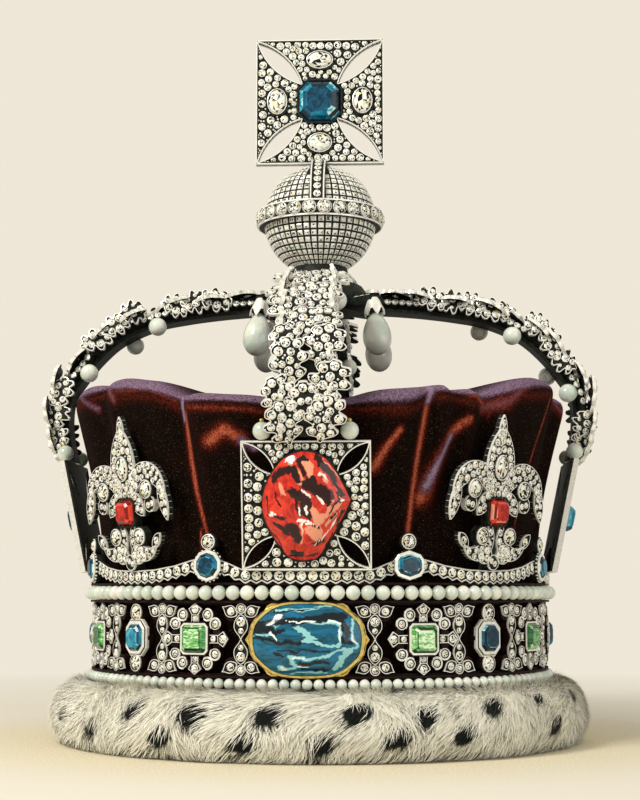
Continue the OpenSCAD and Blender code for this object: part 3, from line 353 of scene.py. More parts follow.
def ringed(rings, paint=0, first=None, last=None, split=(), smooth=False, closed=True,
           tip=None):
    """Joins rings of equally many points. paint has one value, or one for each band; first
    and last are the paint of the end faces, or None for no face. split says for each band
    whether it is of triangles, and tip ends the last ring in a point that much above its
    middle."""
    rings = np.asarray(rings, float)
    bands, n = rings.shape[0] - 1, rings.shape[1]
    paint = np.broadcast_to(np.asarray(paint), bands)
    faces, paints = [], []
    for b in range(bands):
        for i in range(n if closed else n - 1):
            j = (i + 1) % n
            p, q, r, s = b * n + i, b * n + j, (b + 1) * n + j, (b + 1) * n + i
            if split and split[b]:
                faces += [(p, q, s), (q, r, s)]
                paints += [paint[b]] * 2
            else:
                faces.append((p, q, r, s))
                paints.append(paint[b])
    if first is not None:
        faces.append(tuple(range(n - 1, -1, -1)))
        paints.append(first)
    points = rings.reshape(-1, 3)
    if tip is not None:
        top = len(points)
        points = np.vstack([points, rings[-1].mean(0) + (0, 0, tip)])
        faces += [(bands * n + i, bands * n + (i + 1) % n, top) for i in range(n)]
        paints += [last] * n
    elif last is not None:
        faces.append(tuple(range(bands * n, bands * n + n)))
        paints.append(last)
    return Part(points, faces, paints, smooth)


class Piece:
    """Gathers the parts of one piece, in millimetres."""

    def __init__(self):
        self.rows, self.count = [], 0

    def put(self, points, corners, sizes, paint, tint, smooth):
        """Points, and faces whose corners count from the first of these points."""
        self.rows.append((points, corners + self.count, sizes, paint, tint, smooth))
        self.count += len(points)

    def add(self, part, places=None):
        """Sets a part at each place, as drawn without one. Each face has a tint of its own, at
        random; a stone's material turns it into a painted reflection on that facet.
        """
        places = np.eye(4) if places is None else np.asarray(places, float)
        places = places.reshape(-1, 4, 4)
        copies, n, faces = len(places), len(part.points), len(part.sizes)
        points = np.einsum("mij,nj->mni", places[:, :3, :3], part.points) + places[:, None, :3, 3]
        self.put(points.reshape(-1, 3),
                 (part.corners[None] + n * np.arange(copies)[:, None]).ravel(),
                 np.tile(part.sizes, copies), np.tile(part.paint, copies),
                 rng.uniform(0, 1, copies * faces), np.full(copies * faces, part.smooth))

    def make(self, name, materials, replaces=()):
        points, corners, sizes, paint, tints, smooth = map(np.concatenate, zip(*self.rows))
        mesh = bpy.data.meshes.new(name)
        mesh.vertices.add(len(points))
        mesh.vertices.foreach_set("co", (points * MM).ravel())
        mesh.loops.add(len(corners))
        mesh.loops.foreach_set("vertex_index", corners.astype(np.int32))
        mesh.polygons.add(len(sizes))
        starts = np.concatenate([[0], np.cumsum(sizes)[:-1]])
        mesh.polygons.foreach_set("loop_start", starts.astype(np.int32))
        mesh.polygons.foreach_set("material_index", paint.astype(np.int32))
        mesh.polygons.foreach_set("use_smooth", smooth)
        mesh.update(calc_edges=True)
        tint = mesh.attributes.new("tint", "FLOAT", "FACE")
        tint.data.foreach_set("value", tints.astype(np.float32))
        return piece_of(mesh, name, materials, replaces)


def piece_of(mesh, name, materials, replaces=()):
    """Makes a mesh a piece of the crown."""
    made = bpy.data.objects.new(name, mesh)
    bpy.context.collection.objects.link(made)
    for m in materials:
        mesh.materials.append(m)
    if replaces:
        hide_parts(*replaces)
    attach(made, "root")
    return made


def lone_piece(name, materials, part, places, node):
    """A piece made of one part alone, which replaces a node of the frame."""
    piece = Piece()
    piece.add(part, places)
    piece.make(name, materials, (node,))


def face_list(part):
    return [tuple(f) for f in np.split(part.corners, np.cumsum(part.sizes)[:-1])]


def band_faces(bands, n):
    """The faces between rings of n points."""
    return [(b * n + i, b * n + (i + 1) % n, (b + 1) * n + (i + 1) % n, (b + 1) * n + i)
            for b in range(bands) for i in range(n)]


def smooth_mesh(name, points, faces, **layers):
    """A smooth mesh from points in mm, with a value at each point for each named layer."""
    mesh = bpy.data.meshes.new(name)
    mesh.from_pydata((points * MM).tolist(), [], faces)
    mesh.polygons.foreach_set("use_smooth", [True] * len(faces))
    for layer, values in layers.items():
        made = mesh.attributes.new(layer, "FLOAT", "POINT")
        made.data.foreach_set("value", np.asarray(values, np.float32))
    return mesh


# The paints of a jewelled piece; the floor paint is the near-black metal, a painted shade between
# the stones
STONE_PAINT, EDGE_PAINT, SHADE_FLOOR_PAINT = 0, 1, 2
JEWEL = (DIAMOND, BRIGHT, PAINTED_SHADE_METAL)


# places
def shift(x=0.0, y=0.0, z=0.0):
    made = np.eye(4)
    made[:3, 3] = (x, y, z)
    return made


def turned(axis, degrees):
    made = np.eye(4)
    c, s = math.cos(math.radians(degrees)), math.sin(math.radians(degrees))
    i, j = {"x": (1, 2), "y": (2, 0), "z": (0, 1)}[axis]
    made[i, i] = made[j, j] = c
    made[i, j], made[j, i] = -s, s
    return made


def grown(x, y=None, z=None):
    return np.diag([x, x if y is None else y, x if z is None else z, 1.0])


def stand(angle, r, z, lean=0.0):
    """Where a flat piece drawn in x and y, with its front along z, stands on the side."""
    return turned("z", angle) @ shift(0, -r, z) @ turned("x", 90 + lean)


def polar(r, degrees, z):
    """Points at a distance from the crown's axis, at degrees from the front."""
    t = np.radians(degrees)
    return np.stack(np.broadcast_arrays(r * np.sin(t), -r * np.cos(t), z), -1)


# outlines
TINY = 1e-9


def unit(rows):
    """Rows of numbers brought to length 1."""
    return rows / (np.linalg.norm(rows, axis=1)[:, None] + TINY)


def rotation(degrees):
    """What turns rows of x and y anticlockwise."""
    c, s = math.cos(math.radians(degrees)), math.sin(math.radians(degrees))
    return np.array([[c, s], [-s, c]])


def circle(r, n=16, x=0.0, y=0.0, phase=0.0):
    a = (np.arange(n) + phase) * 2 * np.pi / n
    return np.stack([x + r * np.cos(a), y + r * np.sin(a)], 1)


def curve(p0, p1, p2, p3, f):
    """Catmull-Rom: the place at the share f of the way from p1 to p2."""
    return 0.5 * (2 * p1 + f * (p2 - p0) + f * f * (2 * p0 - 5 * p1 + 4 * p2 - p3)
                  + f ** 3 * (3 * p1 - p0 - 3 * p2 + p3))


def smooth_outline(points, steps=3):
    """A closed curve through points."""
    p = np.asarray(points, float)
    p0, p2, p3 = np.roll(p, 1, 0), np.roll(p, -1, 0), np.roll(p, -2, 0)
    out = [curve(p0, p, p2, p3, f) for f in np.arange(steps) / steps]
    return np.stack(out, 1).reshape(-1, 2)


def smooth_rows(rows, k):
    """A curve through the rows of a table at each k, counted in rows."""
    last = len(rows) - 1
    i = np.clip(np.floor(k).astype(int), 0, last - 1)
    return curve(rows[np.maximum(i - 1, 0)], rows[i], rows[i + 1],
                 rows[np.minimum(i + 2, last)], (k - i)[:, None])


def lens_outline(length, width, n=12, x=0.0, y=0.0, turn=0.0):
    """A pointed lens along the direction turn."""
    r = (length ** 2 + width ** 2) / (4 * width)
    half = math.asin(length / 2 / r)
    a = np.linspace(-half, half, n)
    top = np.stack([-r * np.sin(a), r * np.cos(a) - r + width / 2], 1)
    made = np.concatenate([top[:-1], -top[:-1]])
    return made @ rotation(turn) + (x, y)


def inset(outline, by):
    """The outline moved inwards; it runs anticlockwise."""
    ahead = unit(np.roll(outline, -1, 0) - outline)
    both = ahead + np.roll(ahead, 1, 0)
    normal = unit(np.column_stack([-both[:, 1], both[:, 0]]))
    across = np.column_stack([-ahead[:, 1], ahead[:, 0]])
    stretch = 1 / np.clip((normal * across).sum(1), 0.45, 1)
    return outline + normal * (by * stretch)[:, None]


def anticlockwise(outline):
    x, y = outline[:, 0], outline[:, 1]
    area = (x * np.roll(y, -1) - np.roll(x, -1) * y).sum()
    return outline if area > 0 else outline[::-1]


def raised(outline, z):
    return np.column_stack([outline, np.full(len(outline), float(z))])


def plate(outline, height, rim=0.45, depth=0.5, base=0.0):
    """A plate with a bright raised edge round a floor painted near-black, a painted shade between
    its stones.
    """
    outline = anticlockwise(outline)
    inner = inset(outline, rim)
    rings = [raised(outline, base), raised(outline, height), raised(inner, height),
             raised(inset(outline, rim * 1.15), height - depth)]
    return ringed(rings, [EDGE_PAINT, EDGE_PAINT, SHADE_FLOOR_PAINT], SHADE_FLOOR_PAINT, SHADE_FLOOR_PAINT)


def inside(points, outline):
    """Which points lie inside a closed outline."""
    x, y = points[:, 0], points[:, 1]
    found = np.zeros(len(points), bool)
    for (x0, y0), (x1, y1) in zip(outline, np.roll(outline, -1, 0)):
        if y0 != y1:
            crosses = (y0 > y) != (y1 > y)
            found ^= crosses & (x < (x1 - x0) * (y - y0) / (y1 - y0) + x0)
    return found


def clear_of(points, outlines):
    """Which points lie outside every outline."""
    kept = np.ones(len(points), bool)
    for outline in outlines:
        kept &= ~inside(points, outline)
    return kept


SPREAD_ROUNDS, MOST_RADIUS, BEAD_SHARE = 14, 0.50, 0.5
BEAD_R, BEAD_ROOM, BEAD_APART = 0.5, 0.30, 0.95


def spread(within, size, pitch):
    """Even places for round stones in a flat shape: x, y and radius of each. Small beads
    go where the stones leave room."""
    step = pitch / 9
    line = np.arange(-size, size, step) + step / 2
    grid = np.stack(np.meshgrid(line, line), -1).reshape(-1, 2)
    kept = within(grid)
    shape, outside = grid[kept], grid[~kept]
    count = max(1, int(len(shape) * step ** 2 / (0.88 * pitch ** 2)))
    centres = shape[rng.choice(len(shape), count, replace=False)]
    for _ in range(SPREAD_ROUNDS):
        near = ((shape[:, None] - centres[None]) ** 2).sum(2).argmin(1)
        found = np.bincount(near, minlength=count).clip(1)
        centres = np.stack([np.bincount(near, shape[:, k], count) / found for k in (0, 1)], 1)
    between = np.sqrt(((centres[:, None] - centres[None]) ** 2).sum(2)) + 1e3 * np.eye(count)
    edge = np.full(count, 1e3)
    for k in range(0, len(outside), 20000):
        part = outside[k:k + 20000]
        edge = np.minimum(edge, np.sqrt(((centres[:, None] - part[None]) ** 2).sum(2).min(1)))
    edge = np.minimum(edge + 0.1, pitch * MOST_RADIUS)
    radius = np.minimum(between.min(1) / 2, edge)
    for _ in range(2):
        for i in range(count):
            radius[i] = max(radius[i], min(edge[i], (between[i] - radius).min()))
    kept = radius > pitch * 0.2
    stones = np.column_stack([centres, radius * 0.97])[kept]
    room = np.sqrt(((shape[:, None] - stones[None, :, :2]) ** 2).sum(2)) - stones[None, :, 2]
    room = room.min(1)
    small = []
    for i in np.argsort(-room)[:400]:
        if room[i] < BEAD_ROOM or len(small) >= BEAD_SHARE * len(stones):
            break
        if all(np.hypot(*(shape[i] - q[:2])) > BEAD_APART for q in small):
            small.append((*shape[i], min(room[i] * 0.9, BEAD_R)))
    return np.concatenate([stones, small]) if small else stones


# stones and pearls
def circle_ring(r, z, n, phase=0.0):
    return raised(circle(r, n, phase=phase), z)


def small_stone(n=8):
    """A round diamond of radius 1 in its bright collet."""
    rings = [circle_ring(1.0, -0.30, n), circle_ring(1.0, 0.20, n), circle_ring(0.82, 0.28, n),
             circle_ring(0.46, 0.44, n, 0.5)]
    return ringed(rings, [EDGE_PAINT, EDGE_PAINT, STONE_PAINT], None, STONE_PAINT,
                  split=[False, False, True], tip=0.03)


SMALL = small_stone()
GRAIN = ringed([circle_ring(1.0, -0.6, 6), circle_ring(0.75, 0.55, 6)], EDGE_PAINT, None,
               EDGE_PAINT, tip=0.3)
GRAIN_MOST = 0.56


def brilliant(reach, crown, collet=0.55):
    """A larger stone with star, kite and girdle facets in a bright collet."""
    def ring(share, up, phase=0.0, more=0.0):
        return raised(circle(1.0, 16, phase=phase) * (np.array(reach) * share + more), crown * up)
    rings = [ring(1, 0, 0, collet), ring(1, 0.55, 0, collet), ring(1, 0.62, 0, collet * 0.35),
             ring(1, 0.40), ring(0.80, 0.74, 0.5), ring(0.52, 1)]
    return ringed(rings, [EDGE_PAINT, EDGE_PAINT, SHADE_FLOOR_PAINT, STONE_PAINT, STONE_PAINT],
                  SHADE_FLOOR_PAINT, STONE_PAINT, split=[False, False, False, True, True], tip=0.1)


def sphere_part(rows, n, paint=0):
    """A ball of radius 1."""
    lat = np.linspace(-np.pi / 2, np.pi / 2, rows + 1)
    lat[0] += 0.06
    lat[-1] -= 0.06
    rings = [circle_ring(math.cos(t), math.sin(t), n) for t in lat]
    return ringed(rings, paint, paint, paint, smooth=True)


def scatter(piece, stones, place, z=0.0):
    """Sets small stones and beads of (x, y, radius) on a flat face."""
    for part, low, high, turn in ((SMALL, GRAIN_MOST, 99, 45), (GRAIN, 0, GRAIN_MOST, 0)):
        places = [place @ shift(x, y, z) @ turned("z", rng.uniform(0, turn)) @ grown(r)
                  for x, y, r in stones if low <= r < high]
        if places:
            piece.add(part, places)


def oval_reach(w, h, round_share, n):
    """Distances of a stone's edges from its centre, in equal steps of direction."""
    a = np.arange(n) * 2 * np.pi / n
    box = w / 2 * abs(np.cos(a)) + h / 2 * abs(np.sin(a))
    oval = np.hypot(w / 2 * np.cos(a), h / 2 * np.sin(a))
    return oval * round_share + box * (1 - round_share)


def corners_of(reach):
    """The corners between neighbouring edges of a stone."""
    n = len(reach)
    a1 = np.arange(n) * 2 * np.pi / n
    a2 = a1 + 2 * np.pi / n
    d1, d2 = np.asarray(reach), np.roll(reach, -1)
    scale = math.sin(2 * np.pi / n)
    return np.column_stack([(d1 * np.sin(a2) - d2 * np.sin(a1)) / scale,
                            (d2 * np.cos(a1) - d1 * np.cos(a2)) / scale])


# Steps of a cut stone: share of the outline, share of the crown
STEPS = ((1.0, 0.0), (1.0, 0.10), (0.93, 0.36), (0.80, 0.72), (0.66, 0.94), (0.60, 1.0))


def step_stone(reach, crown):
    """A step-cut stone over its outline, lying on z = 0."""
    corners = corners_of(reach)
    return ringed([raised(corners * share, crown * up) for share, up in STEPS], 0, 0, 0)


def bezel(reach, z0, z1, width=0.55, lip=0.5):
    """A bright wall round a stone, leaning over its edge."""
    corners = corners_of(reach + STONE_GAP)
    out = corners_of(reach + STONE_GAP + width)
    lap = corners_of(reach - lip)
    rings = [raised(out, z0), raised(out, z1 - 0.3), raised((out + corners) / 2, z1),
             raised(lap, z1 - 0.1), raised(lap, z1 - 0.5)]
    return ringed(rings, EDGE_PAINT)


# crosses
def lens_outlines(s, lens_in, width):
    length = s / math.sqrt(2) - BORDER_W - lens_in
    mid = lens_in + length / 2
    return [lens_outline(length, width, 14, mid * math.cos(math.radians(a)),
                         mid * math.sin(math.radians(a)), a) for a in (45, 135, 225, 315)]


def lens_rim(outline, z0, z1, rim=0.42):
    outline = anticlockwise(outline)
    outer = inset(outline, -rim)
    return ringed([raised(outer, z0), raised(outer, z1), raised(outline, z1),
                   raised(outline, z0)], EDGE_PAINT)


def cross_dress(piece, s, t, lens_in, lens_w, blocks, place, pitch=3.5):
    """Pave, borders and lens edges on the face of a cross."""
    lenses = lens_outlines(s, lens_in, lens_w)
    blocks = [inset(anticlockwise(o), -0.75) for o in lenses] + blocks
    half = s / 2 - 0.85
    scatter(piece, spread(lambda p: (abs(p) < half).all(1) & clear_of(p, blocks),
                          s / 2 + 2, pitch), place, t + 0.28)
    square = np.array([[-1, -1], [1, -1], [1, 1], [-1, 1]]) * (s / 2 + 0.12)
    inner = square - np.sign(square) * 0.5
    top = t + BORDER_T + 0.12
    piece.add(ringed([raised(square, t * 0.35), raised(square, top), raised(inner, top),
                      raised(inner, t)], EDGE_PAINT), place)
    for o in lenses:
        piece.add(lens_rim(o, t * 0.5, top), place)


RED_REACH = np.array([1.09, 1.02, 1.06, 1.08, 1.08, 1.07, 1.09, 1.03, 1.10, 1.09, 1.03, 0.89])
red_a = np.arange(12) * 2 * np.pi / 12
red_reach = RED_REACH * 0.93 * np.hypot(RED_W / 2 * np.cos(red_a), RED_H / 2 * np.sin(red_a))
blue_reach = oval_reach(BLUE_W, BLUE_W * 0.9, 0.6, 8)


def cross_place(angle):
    return stand(angle, CROSS_R, CROSS_Z, CROSS_LEAN) @ shift(0, CROSS_S / 2, 0)


names = ("front", "right", "back", "left")
for name, angle in zip(names, CROSS_AT):
    reach, lens_in = (red_reach, RED_LENS) if name == "front" else (blue_reach, BLUE_LENS)
    blocks = [corners_of(reach + STONE_GAP + BEZEL_W + 0.15)]
    piece = Piece()
    cross_dress(piece, CROSS_S, CROSS_T, lens_in, LENS_W, blocks, cross_place(angle))
    piece.make(f"cross_{name}_diamonds", JEWEL)

# Reflections inside a large stone, by kind: start and end in mm from its middle, half widths
RED_MARKS = {
    "dark": ((-11.8, 9.6, -9.2, 13.2, 0.9, 1.7), (-9.2, 13.4, -4.6, 14.2, 2.0, 1.8),
        (-4.6, 14.0, -2.8, 10.6, 1.6, 1.0), (-2.0, 17.0, -0.8, 12.8, 1.0, 0.7),
        (-0.6, 17.6, 1.2, 17.2, 1.1, 0.6), (4.6, 18.2, 10.4, 9.8, 1.5, 1.4),
        (10.4, 9.8, 14.2, 4.0, 0.8, 0.7), (1.0, 9.0, 8.0, 4.8, 3.0, 2.3),
        (-3.6, 5.6, 1.0, 0.6, 2.2, 1.8), (2.6, 11.4, 8.4, 1.6, 1.2, 1.0),
        (-1.0, -0.6, 1.4, -3.8, 1.6, 1.2), (-5.6, 5.8, -1.6, -3.4, 1.0, 0.5),
        (-5.4, -7.4, -3.2, -11.8, 2.1, 1.9), (-4.2, -6.8, -2.4, -13.8, 1.2, 0.5),
        (-11.6, -3.2, -8.4, -4.2, 0.9, 0.9), (-10.8, -6.4, -7.6, -9.2, 0.7, 1.1),
        (-4.8, -16.6, -2.0, -17.6, 1.0, 0.9), (3.6, -13.8, 6.2, -12.4, 0.9, 1.0),
        (8.0, -2.0, 12.6, 3.2, 0.35, 0.3), (9.2, -4.4, 13.6, -0.6, 0.45, 0.4),
        (2.6, -6.2, 6.4, -8.6, 0.35, 0.6), (11.6, -8.4, 14.4, -0.6, 0.5, 0.7),
        (-14.8, 3.4, -14.6, -4.0, 0.30, 0.30), (-13.2, -8.0, -8.8, -16.6, 0.35, 0.35),
        (-6.6, -18.4, 4.2, -18.0, 0.4, 0.4), (7.2, -14.6, 10.6, -9.4, 0.4, 0.4),
        (11.8, 5.6, 12.8, 2.4, 0.5, 0.6), (-11.2, 5.2, -9.4, 1.0, 0.5, 0.4)),
    "pale": ((-6.0, 16.2, -2.0, 9.8, 1.1, 0.9), (0.8, 15.8, 2.2, 12.0, 1.9, 1.2),
        (-3.6, 15.0, -0.8, 11.0, 0.4, 0.4), (2.8, -1.4, 5.2, -4.6, 1.7, 2.0),
        (5.4, -4.4, 13.4, 2.4, 1.0, 0.8), (6.8, -2.6, 10.0, 3.4, 0.7, 0.5),
        (7.8, -6.0, 13.6, -0.6, 0.7, 0.6), (0.4, -7.0, 5.0, -12.0, 0.9, 1.5),
        (-1.6, -5.6, -1.2, -14.0, 0.6, 0.5), (1.4, -6.4, 7.0, -9.4, 0.5, 1.0),
        (5.4, 12.6, 7.8, 9.0, 0.5, 0.4), (10.8, 9.4, 11.4, 6.6, 0.5, 0.3),
        (6.8, 18.0, 12.4, 10.8, 0.3, 0.3), (-7.6, 4.6, -9.0, 8.8, 0.8, 0.8),
        (11.6, 6.4, 13.4, 3.4, 0.35, 0.35)),
    "glint": ((-13.2, -3.0, -12.4, -2.6, 0.85, 0.7), (-12.4, -2.4, -8.8, -2.2, 0.45, 0.2),
        (-1.2, 6.8, 1.2, 3.4, 0.35, 0.45), (4.6, 4.6, 6.8, 1.8, 0.3, 0.4),
        (-2.3, 0.2, -1.6, -3.2, 0.45, 0.25), (0.1, -0.4, 0.8, -2.8, 0.35, 0.2),
        (4.9, 12.8, 7.0, 10.4, 0.25, 0.3), (-3.6, -4.6, 2.2, -5.4, 0.25, 0.3),
        (2.2, -5.4, 6.6, -8.0, 0.3, 0.15), (3.2, -14.6, 12.0, -4.6, 0.15, 0.3),
        (-1.4, -5.6, -1.0, -9.0, 0.3, 0.15), (13.2, 2.6, 14.4, 2.6, 0.3, 0.25))}
BLUE_MARKS = {
    "dark": ((-18.6, 5.6, 14.0, 9.2, 1.6, 1.3), (-19.4, 3.4, -13.0, 3.6, 1.4, 1.0),
        (-19.4, 0.3, -2.2, -1.4, 0.6, 0.8), (12.6, 9.0, 15.4, 2.6, 0.9, 1.3),
        (13.0, 0.6, 17.0, 0.0, 1.2, 0.9), (-11.6, -5.0, -7.8, -6.6, 0.5, 0.6),
        (-3.0, -8.4, 9.0, -8.0, 0.9, 0.6), (-10.6, -4.0, 8.4, -4.2, 0.35, 0.35),
        (-12.2, 2.6, -7.6, 3.2, 0.8, 0.4), (-6.8, 11.2, 6.4, 12.2, 0.2, 0.2),
        (-2.8, -10.6, 8.6, -10.9, 0.5, 0.3), (-12.6, 10.0, -6.0, 10.6, 0.3, 0.3)),
    "pale": ((-12.2, 4.2, -8.0, 6.9, 0.6, 0.8), (-8.0, 6.9, 8.2, 7.1, 0.8, 0.9),
        (8.2, 7.1, 13.6, 5.6, 0.9, 0.6), (13.4, 5.8, 11.6, -1.4, 0.8, 1.0),
        (17.0, 8.4, 17.2, 3.4, 0.5, 0.6), (17.2, 3.4, 18.6, -2.4, 0.5, 0.6),
        (18.4, -2.6, 14.0, -3.4, 0.6, 0.9), (15.8, -4.4, 10.6, -10.4, 0.9, 0.8),
        (-6.4, -6.2, 4.8, -6.4, 0.7, 0.5), (4.8, -6.4, 13.6, -4.0, 0.5, 0.6),
        (-5.6, -6.4, -5.2, -9.8, 0.9, 0.9), (-10.8, -10.0, -5.2, -10.2, 0.4, 0.5),
        (-3.6, 4.6, 0.6, 0.6, 1.3, 0.9), (-1.2, -0.6, 12.0, -2.6, 0.8, 0.5),
        (-11.0, 10.8, 8.0, 12.4, 0.4, 0.5), (-5.6, -12.2, 8.0, -11.6, 0.35, 0.25),
        (-19.6, 1.4, -14.4, 1.9, 0.3, 0.4), (1.0, 0.0, 4.6, 0.4, 0.6, 0.3)),
    "glint": ((-13.8, 2.6, -11.6, 0.6, 0.7, 0.35), (8.0, 7.2, 12.6, 6.4, 0.5, 0.3),
        (-5.6, -6.4, 1.2, -6.3, 0.35, 0.2), (-3.6, -9.9, 1.4, -9.9, 0.3, 0.25),
        (-9.8, -10.2, -7.4, -10.5, 0.3, 0.2), (-7.0, 6.9, 3.0, 7.1, 0.3, 0.3),
        (12.4, 4.8, 11.8, 0.0, 0.35, 0.4), (17.4, 2.2, 18.4, -1.6, 0.3, 0.3))}


def mark_layers(points, marks):
    """How far each point lies inside each kind of marks, with uneven edges."""
    wobble = np.array([noise.noise(Vector((x * 0.9, y * 0.9, 3.0))) for x, y in points])
    bend = np.array([[sum(size * noise.noise(Vector((x * f, y * f, level + 7.0 * f)))
                          for f, size in ((0.22, 1.3), (0.8, 0.55)))
                      for level in (0.0, 20.0)] for x, y in points])
    layers = {}
    for kind, rows in marks.items():
        layers[kind] = np.zeros(len(points))
        for x0, y0, x1, y1, w0, w1 in rows:
            d = np.array([x1 - x0, y1 - y0])
            off = points + bend - (x0, y0)
            t = np.clip(off @ d / (d @ d), 0, 1)
            away = np.hypot(*(off - t[:, None] * d).T)
            width = (w0 + (w1 - w0) * t) * (1 + 0.45 * wobble)
            layers[kind] = np.maximum(layers[kind], np.clip((1.3 - away / width) / 0.65, 0, 1))
    return layers


def big_gem(name, material, node, place, reach, crown, marks):
    """A polished stone over a rounded outline: a smooth dome with low uneven planes."""
    outline = smooth_outline(corners_of(reach), 10)
    rings = [raised(outline, 0)]
    for k, share in enumerate(np.concatenate([[1.0], np.linspace(0.985, 0, 46)[:-1]])):
        ring = raised(outline * share, crown * (1 - share ** 3.4 * 0.78))
        for q in ring[:len(ring) if k else 0]:
            q[2] -= 0.35 * abs(noise.noise(Vector((q[0] * 0.22, q[1] * 0.2, 1.0))))
        rings.append(ring)
    part = ringed(rings, 0, None, 0, tip=0.0)
    world = (place[:3, :3] @ part.points.T).T + place[:3, 3]
    mesh = smooth_mesh(name, world, face_list(part), **mark_layers(part.points[:, :2], marks))
    piece_of(mesh, name, (material,), (node,))


big_gem("red_stone_front", BIG_RED, "stone_front",
        cross_place(0) @ shift(0, 0, CROSS_T + 0.3), red_reach, 6.2, RED_MARKS)
for name, angle in zip(names[1:], CROSS_AT[1:]):
    lone_piece(f"blue_stone_{name}", (BLUE,), step_stone(blue_reach, 5.2),
               cross_place(angle) @ shift(0, 0, CROSS_T + 0.3), f"stone_{name}")

# top cross and orb
TOP_DIAMONDS = ((0, 8, 11), (90, 11, 7.4), (180, 8, 11), (270, 10, 8))
top_reach = oval_reach(TOP_STONE_W, TOP_STONE_W, 0.75, 8)
piece = Piece()
for turn in (0, 180):
    place = stand(turn, 0, TOP_Z)
    blocks = [circle(6.5, 24) if turn else corners_of(top_reach + STONE_GAP + BEZEL_W + 0.2)]
    for a, w, h in TOP_DIAMONDS:
        c = TOP_S * 0.335 * np.array([math.cos(math.radians(a)), math.sin(math.radians(a))])
        reach = oval_reach(w, h, 0.8, 8)
        blocks.append(corners_of(reach + STONE_GAP + BEZEL_W + 0.1) + c)
        z = TOP_T / 2 + (0.0 if turn else 0.35)
        piece.add(brilliant((w / 2, h / 2), 2.0), place @ shift(*c, z))
    cross_dress(piece, TOP_S, TOP_T / 2, TOP_STONE_W * 0.62, LENS_W * 1.35, blocks, place, 3.6)
    if turn:
        piece.add(brilliant((5.6, 5.6), 2.6), place @ shift(0, 0, TOP_T / 2))
piece.make("top_cross_diamonds", JEWEL, ("top_diamonds",))

lone_piece("blue_stone_top", (BLUE,), step_stone(top_reach, 4.2),
           stand(0, TOP_T / 2 + 0.4, TOP_Z), "stone_top")


def square_stone():
    """A square-set stone of half width 1."""
    corners = np.array([[1, 1], [-1, 1], [-1, -1], [1, -1]])
    return ringed([raised(corners * w, z) for w, z in ((1, -0.3), (0.96, 0.16), (0.62, 0.32))],
                  EDGE_PAINT, None, STONE_PAINT, tip=0.0)


def on_orb(lon, lat, r):
    """Where something lies flat on the orb, in degrees round it and up from its middle."""
    return shift(0, 0, ORB_Z) @ turned("z", lon) @ turned("x", 90 - lat) @ shift(0, 0, r)


# Rows of square stones on the orb: how many in a row, and degrees from row to row
GRID_COLUMNS, GRID_STEP = 46, 7.0
piece = Piece()
places = []
for k in range(-12, 12):
    lat = (k + 0.5) * GRID_STEP
    if abs(ORB_R * math.sin(math.radians(lat))) < BAND_H / 2 + 0.4:
        continue
    level_r = ORB_R * math.cos(math.radians(lat))
    wide, tall = math.pi * level_r / GRID_COLUMNS, math.radians(GRID_STEP) * ORB_R / 2
    for c in range(GRID_COLUMNS):
        lon = 360 * (c + 0.5) / GRID_COLUMNS
        if lat > 0 and abs(level_r * math.sin(math.radians(lon))) < BAND_W / 2 + wide * 0.6:
            continue
        places.append(on_orb(lon, lat, ORB_R) @ grown(wide * 0.75, tall * 0.75, 1.3))
piece.add(square_stone(), places)
BAND_STONES = 26
piece.add(brilliant((2.75, 2.75), 1.7, collet=0.35),
          [stand(360 * (i + 0.5) / BAND_STONES, ORB_R + BAND_OUT - 0.1, ORB_Z)
           for i in range(BAND_STONES)])


def hoop(r, section, n=96):
    """A closed ring round the z axis with a section of (out, up) corners."""
    rings = [circle_ring(r + out, up, n) for out, up in section]
    return ringed(rings + rings[:1], EDGE_PAINT)


EDGE_WIRE = ((0, -0.35), (0.55, -0.35), (0.55, 0.35), (0, 0.35))
for side in (-1, 1):
    piece.add(hoop(ORB_R + BAND_OUT - 0.1, EDGE_WIRE),
              shift(0, 0, ORB_Z + side * (BAND_H / 2 - 0.3)))
UPRIGHT_R = ORB_R + BAND_OUT * 0.8
piece.add(SMALL, [on_orb(lon, 13 + 8.3 * k, UPRIGHT_R) @ grown(1.65)
                  for lon in (0, 180) for k in range(8)])
arc = np.radians(np.linspace(8, 172, 48))
for x in (-BAND_W / 2 + 0.2, BAND_W / 2 - 0.2):
    rings = [np.column_stack([np.full(48, x + across), -(UPRIGHT_R + out) * np.cos(arc),
                              ORB_Z + (UPRIGHT_R + out) * np.sin(arc)])
             for out, across in ((-0.2, -0.3), (0.5, -0.3), (0.5, 0.3), (-0.2, 0.3))]
    piece.add(ringed(rings + rings[:1], EDGE_PAINT, closed=False))
piece.make("orb_diamonds", JEWEL)

# arches
ARCH_ROWS = np.array([
    [1.000, 0.000, 0.86, 0.5], [1.024, 0.116, 0.92, 0.8], [1.038, 0.263, 1.00, 1.0],
    [1.026, 0.411, 1.00, 1.0], [0.968, 0.537, 1.00, 1.0], [0.880, 0.679, 1.00, 1.0],
    [0.765, 0.806, 1.00, 0.9], [0.593, 0.903, 0.96, 0.9], [0.438, 0.944, 0.94, 0.9],
    [0.289, 0.970, 0.94, 1.0], [0.146, 0.987, 0.92, 1.3], [0.000, 1.000, 0.80, 1.9]])
ARCH_LAST = len(ARCH_ROWS) - 1


def along(t):
    """What the rows say at t, which is counted in rows."""
    return smooth_rows(ARCH_ROWS, np.array([t]))[0]


def arch_under(row):
    return np.array([BOSS_CLEAR + (ARCH_FOOT_R - BOSS_CLEAR) * row[0],
                     ARCH_FOOT_Z + ARCH_RISE * row[1]])


